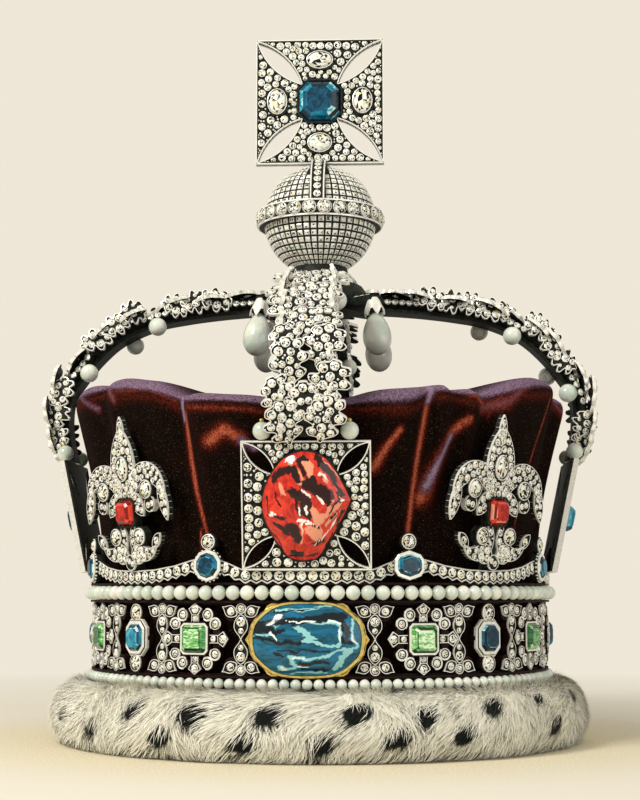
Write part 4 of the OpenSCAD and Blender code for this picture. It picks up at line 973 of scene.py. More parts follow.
def arch_frame(t, square_ends=False):
    """x across the arch, y along it and z outwards, at its underside."""
    step = arch_under(along(min(t + 0.05, ARCH_LAST))) - arch_under(along(max(t - 0.05, 0)))
    n = np.array([step[1], -step[0]]) / np.linalg.norm(step)
    if square_ends and t <= 0:
        n = np.array([1.0, 0.0])
    if square_ends and t >= ARCH_LAST:
        n = np.array([0.0, 1.0])
    base = arch_under(along(t))
    made = np.eye(4)
    made[:3, 2] = (0, -n[0], n[1])
    made[:3, 1] = (0, n[1], n[0])
    made[:3, 3] = (0, -base[0], base[1])
    return made


# Half of an oak leaf's outline: half width, share of the length
LEAF_SIDE = ((0.05, 0.0), (0.12, 0.10), (0.36, 0.15), (0.46, 0.26), (0.30, 0.345),
             (0.33, 0.40), (0.54, 0.45), (0.60, 0.57), (0.38, 0.65), (0.36, 0.70),
             (0.48, 0.77), (0.42, 0.89), (0.18, 0.93), (0.12, 1.0))


# How far the lobes of one side stand above those of the other, as a share of the length
LEAF_SKEW = 0.05
LEAF_DOME, LEAF_DOME_HALF, LEAF_CREST = 0.9, 7.0, 0.35


def leaf_outline(length, width, steps):
    right = [(x * width, (y + LEAF_SKEW * (x > 0.2)) * length) for x, y in LEAF_SIDE]
    left = [(-x * width, (y - LEAF_SKEW * (x > 0.2)) * length) for x, y in reversed(LEAF_SIDE)]
    return anticlockwise(smooth_outline(right + left, steps))


def bent(points, length, droop):
    """Bends a leaf: its tip and its sides turn down."""
    out = np.array(points, float)
    y = out[:, 1] / length
    out[:, 2] += (LEAF_DOME * (1 - (out[:, 0] / LEAF_DOME_HALF) ** 2)
                  - droop * (y - LEAF_CREST) ** 2)
    return out


# Length, width and droop of each kind of leaf, and how finely its outline is drawn
LEAF_KINDS = ((17.0, 13.5, 7.0, 3), (14.5, 12.0, 7.0, 3), (18.5, 13.0, 7.0, 3),
              (13.0, 9.5, 2.5, 2), (12.0, 10.0, 2.5, 2), (15.0, 9.5, 2.5, 2))
LEAVES = []
for length, width, droop, steps in LEAF_KINDS:
    edge = leaf_outline(length, width, steps)
    part = plate(edge, 1.5, 0.34, 0.45)
    part.points = bent(part.points, length, droop)
    stones = spread(lambda p, o=inset(edge, 0.3): inside(p, o), length + 1, 3.7)
    LEAVES.append((part, stones, length, droop))


def add_leaf(piece, place, kind):
    part, stones, length, droop = LEAVES[kind]
    piece.add(part, place)
    spots = bent(raised(stones[:, :2], 1.15), length, droop)
    for spot, r in zip(spots, stones[:, 2]):
        slope = math.degrees(math.atan(2 * droop * (spot[1] / length - LEAF_CREST) / length))
        piece.add(SMALL if r >= GRAIN_MOST else GRAIN,
                  place @ shift(*spot) @ turned("x", -slope) @ grown(r, r, r * 0.9))


# Leaves on the outside of an arch: rows along it, mm across, turn in degrees, kind
ARCH_LEAVES = (
    (-0.15, -5.6, 12, 0), (-0.05, 5.4, -10, 2), (0.95, 0.6, 6, 1), (1.25, -6.4, 22, 1),
    (1.55, 6.0, -20, 0), (2.1, -4.4, 8, 2), (2.75, 4.6, -14, 0), (3.05, -5.6, 26, 1),
    (3.55, 0.4, 10, 0), (3.9, 6.2, -26, 1), (4.3, -5.0, 16, 2), (4.9, 4.6, -8, 0),
    (5.2, -5.8, 28, 1), (5.75, 0.2, -6, 2), (6.15, 6.0, -24, 1), (6.5, -5.2, 18, 0),
    (7.1, 4.4, -12, 2), (7.5, -5.8, 24, 1), (7.95, 0.6, 8, 0), (8.4, 5.6, -22, 1),
    (8.75, -4.8, 14, 0), (9.2, 4.0, -10, 2), (9.55, -5.4, 20, 1), (9.95, 0.2, 4, 0))
LEAF_TILT, FLANK_STEP, FLANK_STONE_R = 13, 8.6, 1.55


def arch_lengths(n=400):
    """Rows along the arch and the length in mm up to each."""
    t = np.linspace(0, ARCH_LAST, n)
    spots = np.array([arch_under(along(v)) for v in t])
    return t, np.concatenate([[0], np.cumsum(np.hypot(*np.diff(spots, axis=0).T))])


def swept(piece, section, t0, place, steps=60):
    """Carries a section of (across, out) corners along the arch from t0 to its end."""
    rings = [[(arch_frame(t, True) @ (x, 0, out, 1))[:3] for x, out in section(t)]
             for t in np.linspace(t0, ARCH_LAST, steps)]
    piece.add(ringed(np.array(rings)[::-1], SHADE_FLOOR_PAINT, SHADE_FLOOR_PAINT, SHADE_FLOOR_PAINT), place)


STRAP = [(x * STRAP_W / 2, out) for x, out in ((-1, 0), (-1, STRAP_T), (1, STRAP_T), (1, 0))]


def core_section(t):
    row = along(t)
    w, h = ARCH_W / 2 * row[2] * 0.70, STRAP_T + LEAF_T * row[3] * 0.45
    s = STRAP_W / 2
    return [(-s, STRAP_T * 0.5), (-w, STRAP_T + 0.2), (-w * 0.8, h), (w * 0.8, h),
            (w, STRAP_T + 0.2), (s, STRAP_T * 0.5)]


ARCH_PEARLS = ((4.4, 1), (3.2, -1), (7.1, 1), (6.2, -1))
ARCH_PEARL_D = 8.0
ARC_T, ARC_S = arch_lengths()


def pearl_near(t, side):
    """The length in mm from here to the nearest pearl on this side of the arch."""
    at = np.interp(t, ARC_T, ARC_S)
    return min(abs(at - np.interp(p, ARC_T, ARC_S)) for p, which in ARCH_PEARLS if which == side)


for name, angle in zip(names, CROSS_AT):
    piece = Piece()
    around = turned("z", angle)
    # The strap and core of the arch take the near-black metal, a painted shade under the leaves.
    swept(piece, lambda t: STRAP, 0.0, around)
    swept(piece, core_section, 0.25, around)
    for t, x, turn, kind in ARCH_LEAVES:
        if abs(x) > 5.5 and t > 0 and pearl_near(t, math.copysign(1, x)) < 7:
            x *= 0.6
        row = along(max(t, 0))
        high = STRAP_T + LEAF_T * row[3] * 0.42
        place = (around @ arch_frame(max(t, 0.0)) @ shift(x, (t if t < 0 else 0) * 7, high)
                 @ turned("z", turn + rng.uniform(-5, 5)) @ turned("x", LEAF_TILT))
        add_leaf(piece, place, kind)
    for side in (-1, 1):
        for k, at in enumerate(np.arange(9 + 2 * side, ARC_S[-1] - 22, FLANK_STEP)):
            t = np.interp(at, ARC_S, ARC_T)
            gap = pearl_near(t, side)
            if gap < 5.4:
                continue
            row = along(t)
            up = np.interp(t, (3.5, 5.0), (4.2, 6.6)) + (2.2 if gap < 9 else 0)
            _, _, length, _ = LEAVES[3 + k % 3]
            place = (around @ arch_frame(t) @ shift(side * (8.6 * row[2] + 0.3), 0, up)
                     @ turned("y", 78 * side) @ turned("z", (17, -20, 8, -12)[k % 4])
                     @ shift(0, -length / 2, 0))
            add_leaf(piece, place, 3 + k % 3)
        for at in np.arange(6, ARC_S[-1] - 5, 2 * FLANK_STONE_R):
            t = np.interp(at, ARC_S, ARC_T)
            if pearl_near(t, side) < 7.5 or at > ARC_S[-1] - 21:
                piece.add(SMALL, around @ arch_frame(t)
                          @ shift(side * (8.8 * along(t)[2] + 0.2), 0, 4.4)
                          @ turned("y", 48 * side) @ grown(FLANK_STONE_R))
    piece.make(f"oak_arch_{name}", JEWEL, (f"arch_{name}",))

# Boss: leaves round it, up to the orb
piece = Piece()
for k in range(12):
    add_leaf(piece, stand(30 * k + 15, BOSS_R - 3.2, ARCH_TOP_Z + 2.2, -20), k % 2)
for k in range(9):
    add_leaf(piece, stand(40 * k, BOSS_R * 0.78, ARCH_TOP_Z + 6.5, -36), 1)
BELL_N, BELL_POINTS = 30, 6


def zigzag_bell():
    """A diamond cap with long points round its lower edge."""
    rings = []
    for r, z, tooth in ((2.6, -0.8, 0), (4.0, -3.8, 3.2), (4.4, -4.0, 3.4), (2.9, -0.6, 0),
                        (1.9, 1.2, 0)):
        ring = circle_ring(r, z, BELL_N)
        ring[:, 2] -= tooth * (0.5 + 0.5 * np.cos(2 * np.pi * BELL_POINTS
                                                  * np.arange(BELL_N) / BELL_N))
        rings.append(ring)
    return ringed(rings, EDGE_PAINT, None, EDGE_PAINT)


DROP_R, BRACKET_Z, DROP_TILT = 34.0, 186.25, 8


def drop_hook(angle):
    """Where a drop pearl hangs, tilted a little outwards."""
    return turned("z", angle) @ shift(0, -DROP_R, BRACKET_Z) @ turned("x", -DROP_TILT)


for a in FLEUR_AT:
    piece.add(zigzag_bell(), drop_hook(a))
    for k in range(3):
        piece.add(SMALL, turned("z", a) @ shift(0, -24 - 3.6 * k, BRACKET_Z + 2.4) @ grown(1.75))
piece.make("boss_leaves", JEWEL)

# pearls
BALL = sphere_part(12, 18)
BEAD = sphere_part(9, 14)
PIN = ringed([circle_ring(0.35, -2.0, 8), circle_ring(0.35, 0.2, 8), circle_ring(0.85, 0.5, 8),
              circle_ring(0.95, 1.0, 8), circle_ring(0.5, 1.5, 8)], 1, 1, 1, smooth=True)
PEARLY = (PEARL, GOLD)


def pearl_places(count, r, z, d):
    """Beads side by side on a thread, each a little uneven and turned."""
    out = []
    for i in range(count):
        size = d / 2 * rng.uniform(0.985, 1.0)
        out.append(turned("z", 360 * i / count) @ shift(0, -r, z) @ turned("x", rng.uniform(0, 360))
                   @ grown(size * rng.uniform(0.96, 1.0), size, size))
    return out


lone_piece("upper_pearl_row", PEARLY, BALL, pearl_places(UP_N, UP_R, UP_Z, UP_D),
           "pearls_upper")
LOW_N = 143
lone_piece("lower_pearl_row", PEARLY, BEAD,
           pearl_places(LOW_N, LOW_R, LOW_Z, LOW_D * 1.04), "pearls_lower")

for name, angle in zip(names, CROSS_AT):
    piece = Piece()
    for t, side in ARCH_PEARLS:
        place = (turned("z", angle) @ arch_frame(t)
                 @ shift(side * (STRAP_W / 2 + GAP + ARCH_PEARL_D / 2), 0,
                         STRAP_T - GAP - ARCH_PEARL_D / 2))
        piece.add(BALL, place @ grown(ARCH_PEARL_D / 2))
        piece.add(PIN, place @ turned("y", -35 * side) @ shift(0, 0, ARCH_PEARL_D / 2 - 0.3))
    piece.make(f"arch_pearls_on_{name}", PEARLY, (f"arch_pearls_{name}",))

CROSS_PEARL_D = 7.0
piece = Piece()
pearl_x = ARCH_W / 2 * 0.86 + GAP + 0.6 + CROSS_PEARL_D / 2
for a in CROSS_AT:
    for side in (-1, 1):
        place = (stand(a, CROSS_R, CROSS_Z, CROSS_LEAN)
                 @ shift(side * pearl_x, CROSS_S + GAP + CROSS_PEARL_D / 2, CROSS_T / 2))
        piece.add(BALL, place @ grown(CROSS_PEARL_D / 2))
        piece.add(PIN, place @ turned("x", -90) @ shift(0, 0, CROSS_PEARL_D / 2 - 0.4))
piece.make("cross_corner_pearls", PEARLY, ("cross_pearls",))


def drop_part(w, h):
    """A pear-shaped pearl standing on z = 0."""
    rings = []
    for a in np.pi * np.linspace(0.02, 0.98, 26):
        up = (1 - math.cos(a)) / 2
        r = w / 2 * math.sin(a) * (1 - 0.40 * up ** 1.6) * 1.10
        rings.append(circle_ring(max(r, 0.2), h * up, 28))
    return ringed(rings, 0, 0, 0, smooth=True)


DROP_W, DROP_L, DROP_CAP_H = 12.5, 19.0, 5.0
for i, a in enumerate(FLEUR_AT, 1):
    lone_piece(f"drop_pearl_of_{i}", PEARLY, drop_part(DROP_W, DROP_L),
               drop_hook(a) @ shift(0, 0, -DROP_CAP_H - GAP - DROP_L), f"drop_pearl_{i}")

# fleurs-de-lis
HALF, FH = FLEUR_W / 2, FLEUR_H


def crescent(x0, y0, r0, x1, y1, r1, n=12):
    """What is left of the first circle outside the second."""
    c0, c1 = np.array([x0, y0]), np.array([x1, y1])
    d = np.linalg.norm(c1 - c0)
    base = math.atan2(*(c1 - c0)[::-1])
    h0 = math.acos(np.clip((d * d + r0 * r0 - r1 * r1) / (2 * d * r0), -1, 1))
    h1 = math.acos(np.clip((d * d + r1 * r1 - r0 * r0) / (2 * d * r1), -1, 1))
    a = np.linspace(base + h0, base + 2 * np.pi - h0, n * 2)
    b = np.linspace(base + np.pi + h1, base + np.pi - h1, n * 2)[1:-1]
    outer = c0 + r0 * np.column_stack([np.cos(a), np.sin(a)])
    inner = c1 + r1 * np.column_stack([np.cos(b), np.sin(b)])
    return np.concatenate([outer, inner])


side_forms = [
    crescent(HALF * 0.53, FH * 0.50, HALF * 0.46, HALF * 0.56, FH * 0.39, HALF * 0.40),
    lens_outline(FH * 0.26, HALF * 0.2, 8, HALF * 0.93, FH * 0.44, -76),
    lens_outline(FH * 0.2, HALF * 0.24, 8, HALF * 0.30, FH * 0.43, -55),
    crescent(HALF * 0.36, FH * 0.20, HALF * 0.33, HALF * 0.50, FH * 0.285, HALF * 0.33),
    lens_outline(FH * 0.13, HALF * 0.16, 7, HALF * 0.69, FH * 0.19, 50),
    circle(HALF * 0.15, 14, HALF * 0.20, FH * 0.105),
    circle(HALF * 0.125, 14, HALF * 0.60, FH * 0.425)]
middle_forms = [
    lens_outline(FH * 0.54, HALF * 0.60, 14, 0, FH * 0.66, 90),
    lens_outline(FH * 0.2, HALF * 0.16, 8, 0, FH * 0.90, 90),
    circle(HALF * 0.12, 12, 0, HALF * 0.125)]
fleur_forms = [(o, 0.1 * (k % 3)) for k, o in enumerate(
    side_forms + [o * (-1, 1) for o in side_forms] + middle_forms)]
FLEUR_ROUNDS = ((0.55, 0.52, 1.1), (0.30, 0.22, 1.0))
DROP_DIAMOND_W, DROP_DIAMOND_H, DROP_DIAMOND_UP = 6.4, 9.0, 0.66
fleur_reach = oval_reach(FLEUR_STONE_W, FLEUR_STONE_W * 0.95, 0.5, 8)
fleur_blocks = [circle(DIAMOND_D * size / 2 + 0.8, 20, side * HALF * x, FH * y)
                for x, y, size in FLEUR_ROUNDS for side in (-1, 1)]
fleur_blocks.append(circle(1.0, 20) * (DROP_DIAMOND_W / 2 + 0.9, DROP_DIAMOND_H / 2 + 0.9)
                    + (0, FH * DROP_DIAMOND_UP))
fleur_blocks.append(corners_of(fleur_reach + 1.0) + (0, FH * FLEUR_STONE_UP))
fleur_stones = []
for outline, up in fleur_forms:
    outline = anticlockwise(outline)
    centre = outline.mean(0)
    stones = spread(lambda p: (inside(p + centre, inset(outline, 0.28))
                               & clear_of(p + centre, fleur_blocks)),
                    abs(outline - centre).max() + 1, 3.15)
    if len(stones):
        fleur_stones.append((stones + (*centre, 0), up))


def fleur_place(angle):
    return stand(angle, FLEUR_R, FLEUR_Z, FLEUR_LEAN)


fleur_names = ("front_right", "back_right", "back_left", "front_left")
for name, angle in zip(fleur_names, FLEUR_AT):
    piece = Piece()
    place = fleur_place(angle)
    for outline, up in fleur_forms:
        piece.add(plate(outline, FLEUR_T + 0.75 + up, 0.27, 0.5, FLEUR_T * 0.2), place)
    for stones, up in fleur_stones:
        scatter(piece, stones, place, FLEUR_T + 0.42 + up)
    diamonds = [(0, DROP_DIAMOND_UP, DROP_DIAMOND_W, DROP_DIAMOND_H, 2.3)]
    diamonds += [(side * x, y, DIAMOND_D * size, DIAMOND_D * size, 1.9)
                 for x, y, size in FLEUR_ROUNDS for side in (-1, 1)]
    for x, y, w, h, crown in diamonds:
        piece.add(brilliant((w / 2, h / 2), crown),
                  place @ shift(HALF * x, FH * y, FLEUR_T + 0.35))
    piece.make(f"fleur_{name}_diamonds", JEWEL,
               ("fleur_diamonds",) if name == "front_right" else ())
for i, angle in enumerate(FLEUR_AT, 1):
    lone_piece(f"red_stone_{i}", (RED,), step_stone(fleur_reach, 3.4),
               fleur_place(angle) @ shift(0, FH * FLEUR_STONE_UP, FLEUR_T + 0.4),
               f"fleur_stone_{i}")

# circlet
SMALL_STONE_W, EMERALD_W, FRONT_W, FRONT_H = 10.5, 11.5, 40.0, 25.5
sapphire_reach = oval_reach(SMALL_STONE_W, SMALL_STONE_W * 1.08, 0.75, 8)
emerald_reach = oval_reach(EMERALD_W, EMERALD_W * 0.96, 0.35, 8)
front_reach = oval_reach(FRONT_W, FRONT_H, 0.9, 12)
COLUMN_D = 5.83
diamond_up = FIELD_H / 2 - COLUMN_D / 2 - BEZEL_W - STONE_GAP


def petal(cx, cy, w, h, turn):
    """A leaf-shaped plate with one pointed end, along y before it is turned."""
    side = [[w * 0.42, -h * 0.22], [w * 0.46, h * 0.12], [w * 0.12, h * 0.42]]
    other = [[-x, y] for x, y in reversed(side)]
    points = smooth_outline([[0, -h * 0.5], *side, [0, h * 0.56], *other])
    return points @ rotation(turn) + (cx, cy)


def pillar_forms():
    """An hourglass: a trefoil over a drop, and the same below."""
    forms, stones = [], []
    for up in (1, -1):
        m = np.array([1, up])
        for x, turn in ((-1, 62), (1, -62)):
            forms.append(petal(x * 4.4, 10.5, 4.6, 6.4, turn) * m)
            stones.append((x * 4.1, 10.4 * up, 1.5))
        forms.append(circle(1.95, 14, 0, 11.5) * m)
        stones.append((0, 11.5 * up, 1.35))
        forms.append(petal(0, 4.9, 5.8, 9.0, 180) * m)
        stones += [(0, 6.5 * up, 1.8), (0, 3.1 * up, 1.1)]
    return forms, stones


SCROLL = np.array([9.1, 5.6])


def cluster_forms():
    """Kites on the four sides of a square stone and scrolls at its corners."""
    forms, stones = [], []
    for k in range(4):
        rot = rotation(90 * k)
        out = FIELD_H / 2 - 0.15 + (1.4 if k % 2 == 0 else 0)
        forms.append(np.array([[out, 0], [out - 2.1, 2.9], [out - 4.5, 1.3], [out - 4.5, -1.3],
                               [out - 2.1, -2.9]]) @ rot)
        forms.append(np.array([[6.2, -1.6], [out - 4.3, -1.5], [out - 4.3, 1.5],
                               [6.2, 1.6]]) @ rot)
        stones += [(*(np.array([out - 2.25, 0]) @ rot), 1.6),
                   (*(np.array([out / 2 + 0.8, 0]) @ rot), 1.2)]
        for side in (-1, 1):
            forms.append(circle(2.1, 14, *SCROLL * (1, side)) @ rot)
            stones.append((*((SCROLL * (1, side)) @ rot), 1.35))
    return forms, stones


def scroll_hooks(piece, place):
    """Thin curved wires from the square stone's corners round the scrolls."""
    a = np.linspace(-0.3, 3.9, 14)
    hook = SCROLL + 2.34 * np.column_stack([np.cos(a), np.sin(a)])
    for k in range(4):
        for side in (-1, 1):
            add_wire(piece, raised(hook * (1, side) @ rotation(90 * k), 0.55), 0.22, place)


WIRE_SIDES = 5


def add_wire(piece, path, r, place=None, closed=False):
    """A round wire along a path of points."""
    path = np.asarray(path, float)
    ahead = np.roll(path, -1, 0) - np.roll(path, 1, 0)
    if not closed:
        ahead[0], ahead[-1] = path[1] - path[0], path[-1] - path[-2]
    side = unit(np.cross(unit(ahead), (0.0, 0.0, 1.0)))
    top = np.cross(side, unit(ahead))
    rings = [path + r * (x * side + y * top) for x, y in circle(1.0, WIRE_SIDES)]
    rings = np.array(rings + rings[:1])
    piece.add(ringed(rings[::-1], EDGE_PAINT, closed=closed, smooth=True), place)


PILLAR = pillar_forms()
CLUSTER = cluster_forms()
pillar_parts = [plate(o, 0.75, 0.26, 0.45) for o in PILLAR[0]]
cluster_parts = [plate(o, 0.75, 0.26, 0.45) for o in CLUSTER[0]]


def add_forms(piece, parts, stones, place):
    for part in parts:
        piece.add(part, place)
    scatter(piece, stones, place, 0.42)


def field_place(angle, out=0.0):
    return stand(angle, STONE_FLOOR + out, FIELD_MID)


def places_in(angles, low, high):
    """The angles that lie in this half, each with the place of its forms on the circlet."""
    angles = [(a + 90) % 360 - 90 for a in angles]
    return [(a, field_place(a)) for a in angles if low <= a < high]


PILLARS_AT = [quarter + side * a for quarter in (0, 180) for a in PILLAR_AT for side in (-1, 1)]
for half_name, (low, high) in (("front_half", (-90, 90)), ("back_half", (90, 270))):
    piece = Piece()
    for _, place in places_in(PILLARS_AT, low, high):
        add_forms(piece, pillar_parts, PILLAR[1], place)
    for a, place in places_in(EMERALD_AT + CROSS_AT[1:], low, high):
        add_forms(piece, cluster_parts, CLUSTER[1], place)
        scroll_hooks(piece, place)
        piece.add(bezel(emerald_reach if a % 90 else sapphire_reach, 0.0, 1.6, 0.3, 0.3), place)
    for _, place in places_in(FLEUR_AT, low, high):
        piece.add(bezel(sapphire_reach, 0.0, 1.6), place)
        piece.add(bezel(sapphire_reach + 1.0, -0.6, 0.9, 0.4, 0.1), place)
        for side in (-1, 1):
            piece.add(brilliant((DIAMOND_D / 2, DIAMOND_D / 2), 1.7),
                      place @ shift(0, side * diamond_up, 0.1))
    piece.make(f"circlet_ornaments_{half_name}", JEWEL,
               ("circlet_diamonds",) if half_name == "front_half" else ())

# Stones of the circlet
for i, a in enumerate(EMERALD_AT, 1):
    lone_piece(f"green_stone_{i}", (GREEN,), step_stone(emerald_reach, 3.2),
               field_place(a, 0.15), f"emerald_{i}")
for i, a in enumerate(SAPPHIRE_AT, 1):
    lone_piece(f"blue_stone_{i}", (BLUE,), step_stone(sapphire_reach, 3.2),
               field_place(a, 0.15), f"sapphire_{i}")

# The big front sapphire and its gold frame
big_gem("blue_stone_front", BIG_BLUE, "sapphire_front", stand(0, 97.0, FIELD_MID),
        front_reach, 5.8, BLUE_MARKS)
HEX_W = FRONT_W + 6.6
hexagon = np.array([[HEX_W / 2, 0], [HEX_W * 0.31, FIELD_H / 2 - 0.15],
                    [-HEX_W * 0.31, FIELD_H / 2 - 0.15]])
hexagon = np.concatenate([hexagon, -hexagon])


def evenly(outline, n):
    """n points at equal directions round an outline's centre."""
    out = []
    for d in circle(1.0, n):
        best = 0
        for p, q in zip(outline, np.roll(outline, -1, 0)):
            m = np.array([d, p - q]).T
            if abs(np.linalg.det(m)) > TINY:
                s, u = np.linalg.solve(m, p)
                if s > 0 and -1e-6 <= u <= 1 + 1e-6:
                    best = max(best, s)
        out.append(d * best)
    return np.array(out)


piece = Piece()
hex_ring = evenly(hexagon, 72)
oval_ring = evenly(anticlockwise(smooth_outline(corners_of(front_reach), 5)), 72)
rings = [raised(outline * share, z) for outline, share, z in (
    (hex_ring, 1, -0.4), (hex_ring, 1, 0.55), (hex_ring, 0.965, 0.6), (oval_ring, 1.09, 0.25),
    (oval_ring, 1.06, 1.7), (oval_ring, 1.005, 1.9), (oval_ring, 0.985, 1.0))]
piece.add(ringed(rings, 0), field_place(0))
piece.make("gold_frame", (GOLD,))

# festoon
STRIP = ((0, 0.00), (14.5, 0.05), (18, 0.52), (22.5, 1.00), (27, 0.74), (32, 0.34),
         (38, 0.08), (45, 0.00))
PEAK_STONES = (
    (22.5, 10.6, 8.2, 0.75), (67.5, 7.8, 9.8, 1), (112.5, 7.8, 9.8, 1), (157.5, 10, 10, 1),
    (202.5, 10.6, 8.2, 0.75), (247.5, 7.8, 9.8, 1), (292.5, 7.8, 9.8, 1), (337.5, 10, 10, 1))
PEAK_FLOOR = STRIP_OUT + 0.6
PEAK_Z = STRIP_Z + 0.3 + 5 + STONE_GAP + BEZEL_W
PEAK_DIAMOND_D = 4.8
PEAK_DIAMOND_Z = PEAK_Z + 5 + 2 * (BEZEL_W + STONE_GAP) + PEAK_DIAMOND_D / 2 - 0.3


def strip_mid(a):
    near = abs(a - 90 * round(a / 90))
    xs, ys = zip(*STRIP)
    return STRIP_Z + STRIP_H / 2 + STRIP_RISE * np.interp(near, xs, ys)


STRIP_STONES, TEETH, TOOTH_STEPS = 144, 144, 4
piece = Piece()
stone_angles = 360 * (np.arange(STRIP_STONES) + 0.5) / STRIP_STONES
piece.add(SMALL, [stand(a, STRIP_OUT, strip_mid(a)) @ grown(1.85, 1.85, 1.5)
                  for a in stone_angles])
steps = np.arange(TEETH * TOOTH_STEPS)
wire_angles = 360 * steps / len(steps)
middle = np.array([strip_mid(a) for a in wire_angles])
teeth = 1.1 * (1 - abs((steps % TOOTH_STEPS) / TOOTH_STEPS * 2 - 1)) - 0.35
for edge in (middle + STRIP_H / 2 - 0.1, middle - STRIP_H / 2 + 0.1 - teeth):
    add_wire(piece, polar(STRIP_OUT + 0.25, wire_angles, edge), 0.30, closed=True)
for a, w, h, share in PEAK_STONES:
    place = stand(a, PEAK_FLOOR, PEAK_Z)
    piece.add(bezel(oval_reach(w, h, share, 10), -1.0, 1.8, 0.6, 0.45), place)
    beads = circle(1.0, 22) * (w / 2 + 0.95, h / 2 + 0.95)
    piece.add(sphere_part(4, 6, EDGE_PAINT),
              [place @ shift(x, y, 0.5) @ grown(0.52) for x, y in beads])
    piece.add(brilliant((PEAK_DIAMOND_D / 2, PEAK_DIAMOND_D / 2), 1.8),
              stand(a, PEAK_FLOOR, PEAK_DIAMOND_Z))
piece.make("festoon_diamonds", JEWEL)

piece = Piece()
for a, w, h, share in PEAK_STONES:
    piece.add(step_stone(oval_reach(w, h, share, 10), 2.8), stand(a, PEAK_FLOOR + 0.15, PEAK_Z))
piece.make("festoon_blue_stones", (BLUE,), ("festoon_stones",))

# velvet cap
CAP_ROWS = np.array([
    [1.00, 0.00, 0.000, 0.00], [1.00, 0.04, 0.130, 0.10], [1.00, 0.15, 0.290, 0.35],
    [1.00, 0.36, 0.480, 0.65], [1.00, 0.62, 0.660, 0.90], [1.00, 0.86, 0.820, 1.00],
    [1.00, 0.99, 0.920, 1.00], [0.99, 1.00, 0.965, 0.95], [0.96, 0.98, 0.993, 0.85],
    [0.91, 0.94, 1.000, 0.75], [0.82, 0.85, 0.995, 0.65], [0.68, 0.70, 0.980, 0.55],
    [0.48, 0.50, 0.965, 0.45], [0.26, 0.30, 0.955, 0.30], [0.08, 0.10, 0.950, 0.00]])
SHOULDER = np.array([
    [-180, 0.84], [-168, 0.87], [-155, 0.95], [-140, 0.93], [-124, 0.99], [-110, 0.96],
    [-98, 0.92], [-88, 0.91], [-80, 0.93], [-70, 0.97], [-60, 0.985], [-48, 0.97],
    [-36, 0.93], [-29, 0.87], [-18, 0.855], [-6, 0.83], [6, 0.82], [15, 0.85],
    [23, 0.865], [29, 0.925], [33, 0.90], [37, 0.92], [43, 0.895], [52, 0.955],
    [62, 1.00], [70, 1.00], [78, 0.95], [88, 0.91], [98, 0.93], [110, 0.98],
    [126, 0.95], [140, 0.99], [154, 0.92], [168, 0.86], [180, 0.84]])
# Folds: degrees at the shoulder, degrees at the circlet, width in degrees, share of the depth
FOLDS = np.array([
    [-31, -24, 4.0, 1.0], [28, 24, 3.5, 0.7], [36, 33, 4.0, 0.8], [45, 38, 5.0, 0.9],
    [-60, -55, 5.0, 0.6], [76, 70, 4.5, 0.8], [-8, -9, 4.0, 0.4], [9, 10, 4.0, 0.4],
    [-84, -80, 6.0, 0.7], [97, 93, 5.0, 0.8], [118, 112, 5.0, 0.9], [133, 136, 5.0, 0.7],
    [150, 146, 5.0, 0.9], [171, 168, 5.0, 0.5], [-104, -100, 5.0, 0.8], [-118, -121, 5.0, 0.7],
    [-136, -131, 5.0, 0.9], [-154, -157, 5.0, 0.7], [-172, -170, 4.0, 0.5]])


def turn_off(a, b):
    return (a - b + 180) % 360 - 180


cap_angles = np.concatenate([np.linspace(-180, -90, 70, endpoint=False),
                             np.linspace(-90, 90, 380, endpoint=False),
                             np.linspace(90, 180, 70, endpoint=False)])
cap_k = np.concatenate([np.linspace(0, 10, 64), np.linspace(10.3, 14, 9)])
cap_rows = smooth_rows(CAP_ROWS, cap_k)
even = np.arange(-180, 180, 0.8)
shoulder = np.interp(even, SHOULDER[:, 0], SHOULDER[:, 1])
kernel = np.exp(-(np.arange(-8, 9) / 3.6) ** 2)
shoulder = np.convolve(np.concatenate([shoulder[-8:], shoulder, shoulder[:8]]),
                       kernel / kernel.sum(), "valid")
shoulder = np.interp(cap_angles, even, shoulder)
LEVEL = cap_k[:, None]
REACH, SWELL, RISE, FOLD = (cap_rows[:, c][:, None] for c in range(4))
fold = np.zeros((len(cap_k), len(cap_angles)))
ridge = np.zeros_like(fold)
for top, foot, width, depth in FOLDS:
    off = turn_off(cap_angles, foot + (top - foot) * np.minimum(1, RISE))
    fold = np.maximum(fold, depth * np.exp(-(off / width) ** 2))
    ridge = np.maximum(ridge, depth * np.exp(-((off - 1.15 * width) / (0.55 * width)) ** 2))


def round_noise(degrees, reach, heights):
    """Noise without a seam round the crown, one value for each angle and height."""
    spots = polar(reach, np.asarray(degrees), np.asarray(heights)) * (1, -1, 1)
    return np.array([noise.noise(Vector(spot)) for spot in spots])


RIDGE_D, UNDER_D, RIPPLE_D = 1.3, 2, 1.4
# The cap is drawn in under each arch, and swells less between the arches
under = np.cos(np.radians(4 * cap_angles))
under = np.where(under > 0, under ** 2, 0)
ripple = np.array([round_noise(cap_angles, 4.5, k * 0.16) for k in cap_k])
freely = 1 - 0.35 * np.sin(np.radians(2 * cap_angles)) ** 4
r = (CAP_R * REACH + CAP_SWELL * SWELL * freely - fold * FOLD * FOLD_D * REACH
     + ridge * FOLD * RIDGE_D * REACH - UNDER_D * under * FOLD * REACH + ripple * FOLD * RIPPLE_D)
height = shoulder * REACH + 0.9 * (1 - REACH)
z = RIM_Z + CAP_RISE * RISE * height - np.where(LEVEL > 7, fold * FOLD * FOLD_D * 0.5, 0)
z = z + ripple * np.clip(LEVEL - 6, 0, 1) * 1.2
hem = np.zeros((1, len(cap_angles)))
r = np.concatenate([hem + CAP_R - 0.2, r])
z = np.concatenate([hem + CIRCLET_Z, z])
cap_points = polar(r, cap_angles, z)
